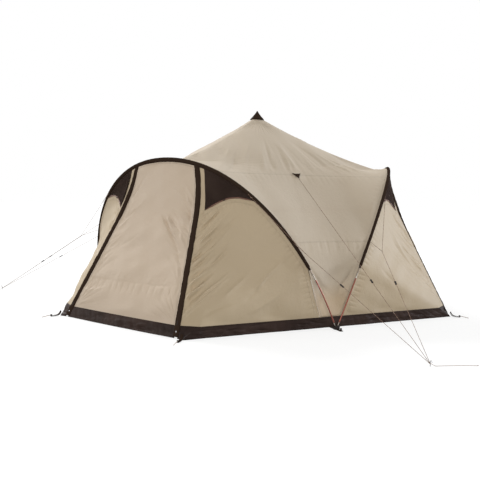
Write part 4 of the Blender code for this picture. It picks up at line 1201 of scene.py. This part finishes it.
def door(seed):
    q = np.linspace(-1, 1, 161)
    top_run = run_at_x(np.abs(q) * (ZIP_TOP_X - FLAP_HALF + DOOR_LAP))
    top = off_arch(top_run, door_point(np.abs(q), on_arch(top_run)[:, 2] - 0.12), SEWN)
    top[:, 0] *= np.sign(q)
    levels = np.concatenate([np.linspace(0.003, SKIRT_HEIGHT, 15), np.linspace(0.109, ZIP_CLOTH_TOP, 150)])
    rise = ((levels - levels[0]) / (top[-1, 2] - levels[0])) ** 2
    points = door_point(q[None], levels[:, None])
    points[..., 2] += (top[:, 2] - top[-1, 2])[None] * rise[:, None]
    points = joined(points, top, 10)
    x, _, z = np.moveaxis(points, -1, 0)
    axes = flat_axes(points)
    flat = points @ axes
    lift = 0.0080 * ripple(x, z, 0.50, seed) + 0.0030 * ripple(x, z, 0.20, seed + 6)
    lift += creases(flat, seen_folds(axes, DOOR_FOLDS))
    zips = zip_at(np.linspace(0.40, 1.16, 20))
    right = (zips - vec(0.05, 0, 0)) @ axes
    lift += creases(flat, strewn(seed + 7, right, 135, 8, (0.14, 0.46), 0.012, 0.0130))
    left = (mirrored(zips, -1) + vec(0.05, 0, 0)) @ axes
    lift += creases(flat, strewn(seed + 8, left, 45, 8, (0.14, 0.46), 0.013, 0.0100))
    low = straight(vec(-0.52, -1.9, 0.40), vec(0.42, -1.9, 0.40), 22) @ axes
    lift += creases(flat, strewn(seed + 9, low, 84, 22, (0.04, 0.12), 0.011, 0.0034))
    lift += 0.0030 * pleats(x * TURN / 0.085, seed + 2) * bell(z - 0.34, 0.05)
    for corner in (vec(0.70, -2.08, 0.10), vec(-0.70, -2.08, 0.10)):
        lift += 0.0050 * rays(points, corner, seed + 4, 0.20) * bell(norm(points - corner) - 0.20, 0.16)
    edge = (1 - np.abs(q))[None] * points[..., -1:, 0]
    free = np.clip(edge / 0.05, 0, 1) * np.clip((top[:, 2][None] - z) / 0.06, 0, 1)
    free = free * np.clip((z - SKIRT_HEIGHT) / 0.05, 0, 1)
    foot = foot_folds(points[..., ::2], (-0.75, 0.75), seed + 15) * np.clip(edge / 0.03, 0, 1)
    points = lifted(points, lift * free + foot)
    return mapped(points, points[:, 0], points[:, -1], points[-1])


for k, side in enumerate(SIDES):
    points, *maps = door(90 + 11 * k)
    obj = cloth(f"door_{side}_cloth", [(spun(points, 120 * k), *maps)], "door_" + side, "door_cloth",
                DOOR_CLOTH, GROUND_CLOTH, body="door_" + side)
    for polygon in obj.data.polygons:
        polygon.material_index = int(polygon.center.z < SKIRT_HEIGHT)


# %% [markdown]
# ## Side panels
#
# A side panel runs from a zip to the arch leg. A fold from the door corner's peg up to the leg bends it.
# Its top is a curved hem under the vent window, and a narrow strip goes on up beside the zip. Dense short
# pleats leave the zip, because the zip tape has shrunk the edge, and two light ridges run from the foot
# to the sleeve's end.

# %% Side panel shape
WALL_FOLDS = {
    # start, end, width, height, for the panels on the right and on the left of a door
    "right": (
        ((1.135, -1.549, 0.369), (1.290, -1.250, 0.720), 0.018, 0.0220),
        ((1.060, -1.620, 0.260), (1.250, -1.330, 0.600), 0.014, -0.0100),
        ((0.930, -1.760, 0.280), (1.080, -1.490, 0.590), 0.015, 0.0170),
        ((1.080, -1.620, 0.170), (1.380, -1.180, 0.450), 0.020, 0.0080),
        ((0.840, -1.920, 0.160), (1.140, -1.600, 0.380), 0.013, -0.0090),
        ((0.790, -1.720, 0.560), (0.960, -1.500, 0.760), 0.011, -0.0090),
    ),
    "left": (
        ((0.936, -1.424, 0.980), (0.790, -1.880, 0.290), 0.022, 0.0090),
        ((0.937, -1.458, 0.840), (0.770, -2.020, 0.130), 0.018, -0.0075),
        ((0.800, -1.556, 0.813), (0.736, -1.958, 0.238), 0.020, 0.0070),
        ((1.000, -1.450, 0.700), (0.810, -1.960, 0.160), 0.016, 0.0050),
        ((1.244, -1.346, 0.550), (1.080, -1.640, 0.150), 0.018, -0.0045),
        ((1.100, -1.400, 0.800), (0.900, -1.800, 0.220), 0.018, 0.0045),
    ),
}


def shrink_folds(axes, hand, seed):
    """Creases that leave the zip upwards and away from it, because its tape has shrunk the edge."""
    heights = np.linspace(0.13, 1.10, 44)
    return strewn(seed, flap_edge(heights) @ axes, 43, 3.5, (0.24, 0.72), 0.0100,
                  0.0200 if hand == "right" else 0.0090)


def side_panel(hand, seed):
    share = np.linspace(0, 1, 180) ** 1.3
    up = np.linspace(0, 1, 160)[:, None]
    level = mix(SKIRT_HEIGHT, hem_height(share)[None], up)
    points = softened(wall_point(share[None] + 0 * up, level), 240)
    _, y, z = np.moveaxis(points, -1, 0)
    axes = flat_axes(points)
    table = shrink_folds(axes, hand, seed + 1) + seen_folds(axes, WALL_FOLDS[hand])
    lift = 0.0048 * ripple(y * 1.3, z, 0.55, seed) + 0.0025 * ripple(y * 1.3, z, 0.22, seed + 6)
    lift += creases(points @ axes, table)
    seam = beside(points, points[:, -1], points[-1])
    lift += 0.0028 * pleats(seam[..., 1] * TURN / 0.055, seed + 5) * bell(seam[..., 0] - 0.05, 0.045)
    free = smooth(seam[..., 0] / 0.05) * smooth((z - SKIRT_HEIGHT) / 0.05)
    points = lifted(points, lift * free)
    return (points, unrolled(points), seam), axes, table


STRIP_SHARE = np.linspace(-0.2, 1, 8)


def strip(levels, share=STRIP_SHARE):
    """A grid across the narrow strip between the flap and the wall or window."""
    return np.stack([strip_edge(levels, s) for s in share], axis=1)


for k, side, hand, sign in PANELS:
    wall, axes, table = side_panel(hand, 200 + 13 * k + (5 if sign < 0 else 0))
    low = strip(np.linspace(SKIRT_HEIGHT, HEM_INNER_HEIGHT, 160))
    low_lift = creases(low @ axes, table) * smooth(STRIP_SHARE * 2.5)
    low_lift = low_lift * smooth((low[..., 2] - SKIRT_HEIGHT) / 0.05)
    low = lifted(low, low_lift - 0.004 * np.clip(0.4 - STRIP_SHARE, 0, 1))
    low[:, -1] = wall[0][:, 0]
    high = strip(np.linspace(HEM_INNER_HEIGHT, STRIP_TOP, 24))
    high = joined(high, above_zip(ZIP_TOP_X + FLAP_HALF + STRIP_WIDTH * STRIP_SHARE), 5)
    high[0] = low[-1]
    strips = [(grid, unrolled(grid), beside(grid, grid[:, -1]) + vec(0.05, 0)) for grid in (low, high)]
    grids = [(spun(mirrored(points, sign), 120 * k), *maps) for points, *maps in (wall, *strips)]
    cloth(f"wall_{side}_{hand}", grids, f"side_panel_{side}_{hand}", "wall_cloth", WALL_CLOTH)


# %% [markdown]
# ## Vent windows
#
# Each window is a piece of insect mesh between the strip, the sleeve and the hem of the side panel. Its
# threads are too fine to model, so the material draws them: a lattice on the unrolled map sets the alpha,
# which lets a little of the inside show. The cover that closes the window hangs rolled along the hem and
# is held by a toggle.

# %% Mesh finish
MESH_PITCH = 0.0022


def mesh_material():
    graph = Finish("vent_mesh_finish", srgb(44, 34, 32), 0.9, Specular_IOR_Level=0.02)
    over, run, _ = graph.split(graph.uv("weave"))
    threads = [(way * (math.pi / MESH_PITCH)).sin().size().below(0.52, 0.2) for way in (over, run)]
    share = graph.blend((0.0, 0.0, 0.0), (1.0, 1.0, 1.0), sum(threads))
    cloud = graph.noise(graph.place(), 5.0, 3.0)
    graph.feed(Alpha=share * 0.08 + 0.77,
               Base_Color=graph.blend(srgb(42, 32, 29), srgb(72, 60, 54), cloud))
    return graph.material


VENT_MESH = mesh_material()
HEM_CLOTH = cloth_material("hem_roll_finish", srgb(104, 72, 58), lap_at=(), weave_size=0.002)
ROLL_RADIUS, ROLL_END = 0.0058, 0.97


def vent_shape():
    """Rows from the hem up to the sleeve, columns from the strip to the tip beside the arch leg."""
    share = np.linspace(0, 0.985, 60)
    lower = wall_point(share, hem_height(share)) - vec(0, 0, 0.004)
    start = run_at_x(ZIP_TOP_X + FLAP_HALF + STRIP_WIDTH)
    at = np.linspace(start, run_at_height(HEM_OUTER_HEIGHT + 0.008), 60)
    upper = off_arch(at, lower, SEWN)
    rows = np.linspace(0, 1, 30)[:, None, None]
    points = mix(lower[None], upper[None], rows)
    near = mix(lower[0, 2], ZIP_TOP[2] - 0.02, rows[:-1, 0, 0])
    points[:-1, 0] = strip_edge(np.clip(near, 0, STRIP_TOP), 1)
    hollow = np.sin(math.pi * rows) * np.sin(math.pi * share)[None, :, None]
    return points - outward(points) * hollow * 0.006


def hem_roll():
    """The rolled cover: a soft tube along the hem that thins to its ends."""
    share = np.linspace(0.01, ROLL_END, 70)
    path = wall_point(share, hem_height(share)) + vec(0, 0, 0.002)
    path = path + unit(path * vec(1, 1, 0)) * 0.003
    turn = np.linspace(0, TURN, 13)
    body = np.clip(np.minimum(share, ROLL_END - share) * 9, 0.25, 1)[:, None]
    return path, body * (ROLL_RADIUS + 0.0011 * np.sin(turn * 3 + run_of(path)[:, None] * 55))


for k, side, hand, sign in PANELS:
    node = f"vent_mesh_{side}_{hand}"
    points = spun(mirrored(vent_shape(), sign), 120 * k)
    cloth(f"vent_{side}_{hand}", [mapped(points, points[0])], node, "mesh", VENT_MESH, thickness=0.0006)
    path, radius = hem_roll()
    roll = tube("vent_roll", spun(mirrored(path, sign), 120 * k), radius, 12)
    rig.padded(piece(f"vent_roll_{side}_{hand}", roll, node, "line", HEM_CLOTH), 0.3)


# %% Steel and plastic
def steel_material():
    graph = Finish("brushed_steel", srgb(176, 176, 178), 0.32, 1.0)
    brush = graph.noise(graph.stretched(graph.place(), (180.0, 180.0, 12.0)), 1.0, 4.0)
    graph.feed(Base_Color=graph.blend(srgb(150, 150, 152), srgb(196, 196, 198), brush),
               Roughness=brush * 0.2 + 0.22)
    graph.bump(brush, 0.00008)
    return graph.material


def plastic_material():
    graph = Finish("moulded_black", srgb(30, 28, 27), 0.5, Specular_IOR_Level=0.2)
    place = graph.place()
    grain = graph.noise(place, 900.0, 3.0)
    graph.feed(Base_Color=graph.blend(srgb(22, 17, 15), srgb(40, 32, 28), graph.noise(place, 40.0, 3.0)),
               Roughness=grain * 0.2 + 0.42)
    graph.bump(grain, 0.00015)
    return graph.material


STEEL, PLASTIC = steel_material(), plastic_material()


# %% Toggles on the rolled covers
def turned(name, start, way, profile, sides=18):
    """A body of revolution about a line: pairs of the distance along it and the radius there."""
    profile = np.array(profile)
    aside = (0, 0, 1) if abs(way[2]) < 0.8 else (1, 0, 0)
    return tube(name, start + way * profile[:, :1], profile[:, 1:], sides, aside)


SPINDLE = [(0, 0.0008), (0.001, 0.0028), (0.004, 0.0040), (0.009, 0.0034), (0.015, 0.0034),
           (0.020, 0.0040), (0.023, 0.0028), (0.024, 0.0008)]
TOGGLE_ROW = 27
for k, side, hand, sign in PANELS:
    node = f"vent_mesh_{side}_{hand}"
    path = spun(mirrored(hem_roll()[0], sign), 120 * k)
    spot, way = path[TOGGLE_ROW], unit(path[TOGGLE_ROW + 1] - path[TOGGLE_ROW - 1])
    out = unit(np.cross(way, vec(0, 0, 1)))
    out = out * np.sign(dot(out, spot * vec(1, 1, 0)))
    toggle = turned("toggle", spot + out * 0.0105 - way * SPINDLE[-1][0] / 2, way, SPINDLE)
    piece(f"toggle_{side}_{hand}", toggle, node, "black_plastic", PLASTIC)
    turn = np.linspace(0, TURN, 25)[:, None]
    ring = spot + out * 0.002 + (out * np.cos(turn) + np.cross(way, out) * np.sin(turn)) * 0.0082
    piece(f"toggle_loop_{side}_{hand}", tube("toggle_loop", ring, 0.0011, 8, way), node, "dark_cloth",
          DARK_CLOTH)


# %% [markdown]
# ## Zip flaps
#
# A flap is a folded strip of dark cloth over the zip. It is a little crowned across, has a row of stitches
# along both edges, and waves slightly where the zip pulls it.

# %% Flap shape
def flap(seed):
    levels = np.linspace(0.012, ZIP_CLOTH_TOP, 190)
    q = np.linspace(-1, 1, 15)
    half = FLAP_HALF + 0.004 + 0.0014 * ripple(levels, 0 * levels, 0.09, seed + 2)
    points = zip_at(levels)[:, None] - door_side(levels)[:, None] * (q * half[:, None])[..., None]
    points = joined(points, above_zip(ZIP_TOP_X + half[-1] * q), 12)
    run = run_of(points[:, 7])[:, None]
    proud = 0.0060 + 0.017 * bell(points[:, 7, 2][:, None] - 1.12, 0.19)
    lift = proud * (1 - q ** 2) + 0.0014 * pleats(run * TURN / 0.075 + q * 0.9, seed) \
        + 0.0008 * pleats(run * TURN / 0.031 - q * 1.4, seed + 1)
    return lifted(points, lift + 0.0012)


for k, side, hand, sign in PANELS:
    points = spun(mirrored(flap(300 + 5 * k + sign), sign), 120 * k)
    cloth(f"flap_{side}_{hand}", [mapped(points, points[:, 0], points[:, -1])], f"zip_flap_{side}_{hand}",
          "dark_cloth", DARK_CLOTH, thickness=0.0022)

# %% Press studs at the feet of the flaps
STUD = [(0, 0.0060), (0.0010, 0.0066), (0.0022, 0.0060), (0.0028, 0.0040), (0.0034, 0.0034),
        (0.0040, 0.0008)]
STUD_HEIGHT, STUD_STAND = 0.052, 0.0065
for k, side, hand, sign in PANELS:
    out = unit(np.cross(door_side(np.asarray(STUD_HEIGHT)), ZIP_DIRECTION))
    out = out * np.sign(-out[1])
    start = mirrored(zip_at(STUD_HEIGHT) + out * STUD_STAND, sign)
    stud = turned("stud", spun(start, 120 * k), spun(mirrored(out, sign), 120 * k), STUD)
    piece(f"stud_{side}_{hand}", stud, f"zip_flap_{side}_{hand}", "steel", STEEL)

# %% [markdown]
# ## Poles and sleeves
#
# Each arch is one long bent tube of red-brown anodised alloy, joined by silver ferrules, with silver tips.
# A sleeve of dark cloth holds it from one leg over the top to the other. The sleeve is a tube that follows
# the pole, ruffled across by the tension of the cloths that are sewn to it.

# %% Pole finish
FERRULE_TOP, FERRULE_FOOT, FERRULE_RADIUS = 0.51, 0.457, 0.0052
TIP_TOP, TIP_FOOT, TIP_RADIUS, POLE_STEP = 0.062, 0.022, 0.0035, 0.0008


def alloy_material():
    """Colour by height: silver tips and ferrule, grey tape up to the sleeve, red-brown elsewhere."""
    graph = Finish("anodised_tube", srgb(132, 72, 58), 0.38, 0.45)
    place = graph.place()
    height = graph.split(place)[2]
    silver = height.below(TIP_TOP, 0.0008) \
        + height.line((FERRULE_TOP + FERRULE_FOOT) / 2, (FERRULE_TOP - FERRULE_FOOT) / 2, 0.0008)
    rub = graph.noise(graph.stretched(place, (260.0, 260.0, 30.0)), 1.0, 4.0)
    red = graph.blend(srgb(112, 58, 47), srgb(146, 80, 64), rub)
    taped = graph.blend(srgb(150, 136, 122), red, height.below(FERRULE_TOP + 0.0005, 0.0008))
    graph.feed(Base_Color=graph.blend(taped, srgb(172, 164, 154), silver), Roughness=rub * 0.16 + 0.26)
    graph.bump(rub, 0.0001)
    return graph.material


ALLOY = alloy_material()


# %% Pole and sleeve shapes
def both_legs(run):
    """The arch from its left foot over the top to its right foot."""
    half = on_arch(run)
    return np.vstack([half[::-1] * vec(-1, 1, 1), half[1:]])


def pole_path():
    """The pole's axis and radius, with a step at both ends of the ferrule and at the tip's top."""
    marks = [FERRULE_TOP + POLE_STEP, FERRULE_TOP, FERRULE_FOOT, FERRULE_FOOT - POLE_STEP, TIP_TOP,
             TIP_TOP - POLE_STEP]
    run = np.unique(np.concatenate([np.linspace(0, run_at_height(TIP_FOOT), 120), run_at_height(marks)]))
    height = on_arch(run)[:, 2]
    radius = np.full(len(run), POLE_RADIUS)
    radius[(height <= FERRULE_TOP + 1e-5) & (height >= FERRULE_FOOT - 1e-5)] = FERRULE_RADIUS
    radius[height <= TIP_TOP - POLE_STEP + 1e-5] = TIP_RADIUS
    return both_legs(run), np.concatenate([radius[::-1], radius[1:]])[:, None]


def sleeve_shape(seed):
    """The pole's line, and a radius that is drawn out towards the door, ruffles, and closes below."""
    path = both_legs(np.linspace(0, run_at_height(SLEEVE_END_HEIGHT - 0.028), 240))
    along_it = run_of(path)[:, None]
    middle = np.abs(np.linspace(-1, 1, len(path)))[:, None]
    turn = np.linspace(0, TURN, 17)[None]
    ruffle = 0.0008 * pleats(along_it * TURN / 0.034 + 1.1 * np.sin(turn), seed) \
        + 0.0004 * pleats(along_it * TURN / 0.085 + np.cos(turn), seed + 1)
    drawn = (0.003 + 0.015 * (1 - middle) ** 0.8) * ((1 - np.cos(turn)) / 2) ** 2
    gathered = smooth((SLEEVE_END_HEIGHT + 0.002 - path[:, 2:]) / 0.012)
    frill = 0.0012 * np.sin(turn * 5 + along_it * 90)
    open_radius = 0.0136 + ruffle + 0.0008 * np.cos(turn * 2) + drawn
    return path, mix(open_radius, 0.0086 + frill, gathered)


lean = unit(np.cross(ARCH[0] - ARCH[-1] * vec(0, 1, 1), vec(1, 0, 0)))
for k, side in enumerate(SIDES):
    aside = spun(lean, 120 * k)
    path, radius = pole_path()
    pole = tube("pole", spun(path, 120 * k), radius, 16, aside)
    piece("pole_" + side, pole, "arch_pole_" + side, "red_tube", ALLOY)
    path, radius = sleeve_shape(330 + k)
    sleeve = tube("sleeve", spun(path, 120 * k), radius, 16, aside)
    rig.padded(piece("sleeve_" + side, sleeve, "arch_sleeve_" + side, "dark_cloth", DARK_CLOTH), 0.5)

# %% [markdown]
# ## The dark foot of the wall
#
# A band of heavy ground cloth runs round each corner from door to door. It stands on the ground, bags a
# little between its pegs, and has a webbing loop with a peg head at each door corner.

# %% Skirt shape
def skirt(seed):
    levels = np.linspace(0.0012, SKIRT_HEIGHT + 0.002, 24)
    share = np.linspace(0, 1, 130) ** 1.15
    wall = wall_point(share[None] + 0 * levels[:, None], levels[:, None] + 0 * share[None])
    near = spun(np.concatenate([strip(levels, (-0.15, 0.4)), wall], axis=1), 30)
    gap = spun(leg_edge(levels, spun(wing_at(0.5), -30), -ALONG_WALL), 30)
    middle = mix(gap[:, None], gap[:, None] * vec(1, -1, 1), np.linspace(0, 1, 9)[None, :, None])
    points = np.concatenate([near, middle, near[:, ::-1] * vec(1, -1, 1)], axis=1)
    run = run_of(points[5])
    flat = np.stack(np.broadcast_arrays(run[None], levels[:, None]), axis=-1)
    return lifted(points, foot_folds(flat, (0, run.max()), seed) + 0.0008)


for k, corner in enumerate(CORNERS):
    points = spun(skirt(400 + k), 120 * k - 30)
    cloth(f"skirt_{corner}_cloth", [mapped(points, points[-1], points[0])], "skirt_" + corner,
          "dark_cloth", GROUND_CLOTH, thickness=0.0016)


# %% Pegged loops at the door corners
STRAP_HALF, PEG_AT = 0.0125, 0.088


def webbing():
    """A band from the foot of the wall, round a peg and back, along X: a path swept sideways."""
    out = bezier([(-0.006, 0.046), (0.006, 0.012), (0.012, 0.0030), (0.05, 0.0030), (PEG_AT, 0.0030)],
                 np.linspace(0, 1, 26))
    turn = np.linspace(-math.pi / 2, math.pi / 2, 10)[1:-1]
    bend = np.stack([PEG_AT + 0.0085 * np.cos(turn), 0.0065 + 0.0035 * np.sin(turn)], axis=-1)
    back = bezier([(PEG_AT, 0.0100), (0.05, 0.0100), (0.020, 0.0095), (0.012, 0.022), (-0.002, 0.052)],
                  np.linspace(0, 1, 26))
    path = np.concatenate([out, bend, back])
    over = np.linspace(-1, 1, 9)[None]
    half = STRAP_HALF * (1 - 0.28 * smooth(path[:, :1] / 0.09))
    return np.stack([path[:, :1] + 0 * over, over * half, path[:, 1:] + 0.0006 * (1 - over ** 2)], axis=-1)


PEG_HEAD = [(0, 0.0030), (0.009, 0.0032), (0.012, 0.0060), (0.014, 0.0088), (0.018, 0.0092),
            (0.021, 0.0080), (0.0225, 0.0050), (0.023, 0.0008)]
PEG_WIRE = bezier([(0.094, 0, 0.014), (0.115, 0, 0.016), (0.145, 0, 0.006), (0.176, 0, 0.0032)],
                  np.linspace(0, 1, 24))
for k, corner in enumerate(CORNERS):
    for label, sign in (("near", 1), ("far", -1)):
        start = spun(DOOR_CORNER, 30) * vec(1, sign, 1)
        bearing = math.degrees(math.atan2(start[1], start[0])) + 120 * k - 30
        foot, node = spun(start, 120 * k - 30), "skirt_" + corner
        band = webbing()
        points, *maps = mapped(band, band[:, 0], band[:, -1])
        cloth(f"strap_{corner}_{label}", [(spun(points, bearing) + foot, *maps)], node, "dark_cloth",
              DARK_CLOTH, thickness=0.0014)
        head = turned("head", spun(vec(PEG_AT, 0, 0.0005), bearing) + foot, vec(0, 0, 1), PEG_HEAD)
        piece(f"peg_head_{corner}_{label}", head, node, "black_plastic", PLASTIC)
        shaft = tube("shaft", spun(PEG_WIRE, bearing) + foot, 0.0026, 10)
        piece(f"peg_shaft_{corner}_{label}", shaft, node, "steel", PALE_CORD)


# %% [markdown]
# ## Apex cap
#
# The cap is a small hood sewn from three gores, so that it is round at its top and three-cornered at its
# rim, with a hem.

# %% Cap shape
def cap_shape():
    """Radius as a Bezier profile, times a three-lobed swell that grows towards the rim, and a hem."""
    t = np.linspace(0, 1, 26)[:, None]
    turn = np.linspace(0, TURN, 73)[None]
    profile = bezier([(0.003, ROOF_APEX + 0.061), (0.028, ROOF_APEX + 0.018),
                      (0.078, roof_height(0.078) + 0.0075)], t[:, 0])
    swell = 1 + 0.05 * t * np.cos(3 * turn) - 0.02 * t * np.abs(np.sin(1.5 * turn)) ** 12
    radius = profile[:, :1] * swell
    sag = 0.0016 * t * pleats(turn * 9, 7)
    hood = np.stack([radius * np.cos(turn), radius * np.sin(turn), profile[:, 1:] + sag], axis=-1)
    return np.concatenate([hood, hood[-1:] - vec(0, 0, 0.006)])


points = cap_shape()
cloth("cap", [mapped(points, points[-1])], "apex_cap", "dark_cloth", DARK_CLOTH, thickness=0.0016)

# %% [markdown]
# ## Small hard parts
#
# The centre pole, the pole feet, the pegs, the line tensioners and the zip sliders keep the shape that
# the CAD gives them. They only need their finish.

# %% Finishes for CAD parts
FINISHES = {"centre_pole": STEEL, "pole_foot": PLASTIC, "line_peg": STEEL, "tensioner": PLASTIC,
            "zip_slider": PLASTIC}
for name, obj in frame["nodes"].items():
    for start, finish in FINISHES.items():
        if name.startswith(start):
            for slot in obj.material_slots:
                slot.material = finish

# %% Last step
MODEL_BOX = [list(corner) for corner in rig.bounds()]
with open("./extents.json", "w") as handle:
    json.dump({"cad": CAD_BOX, "model": MODEL_BOX}, handle)
print("model box", MODEL_BOX)
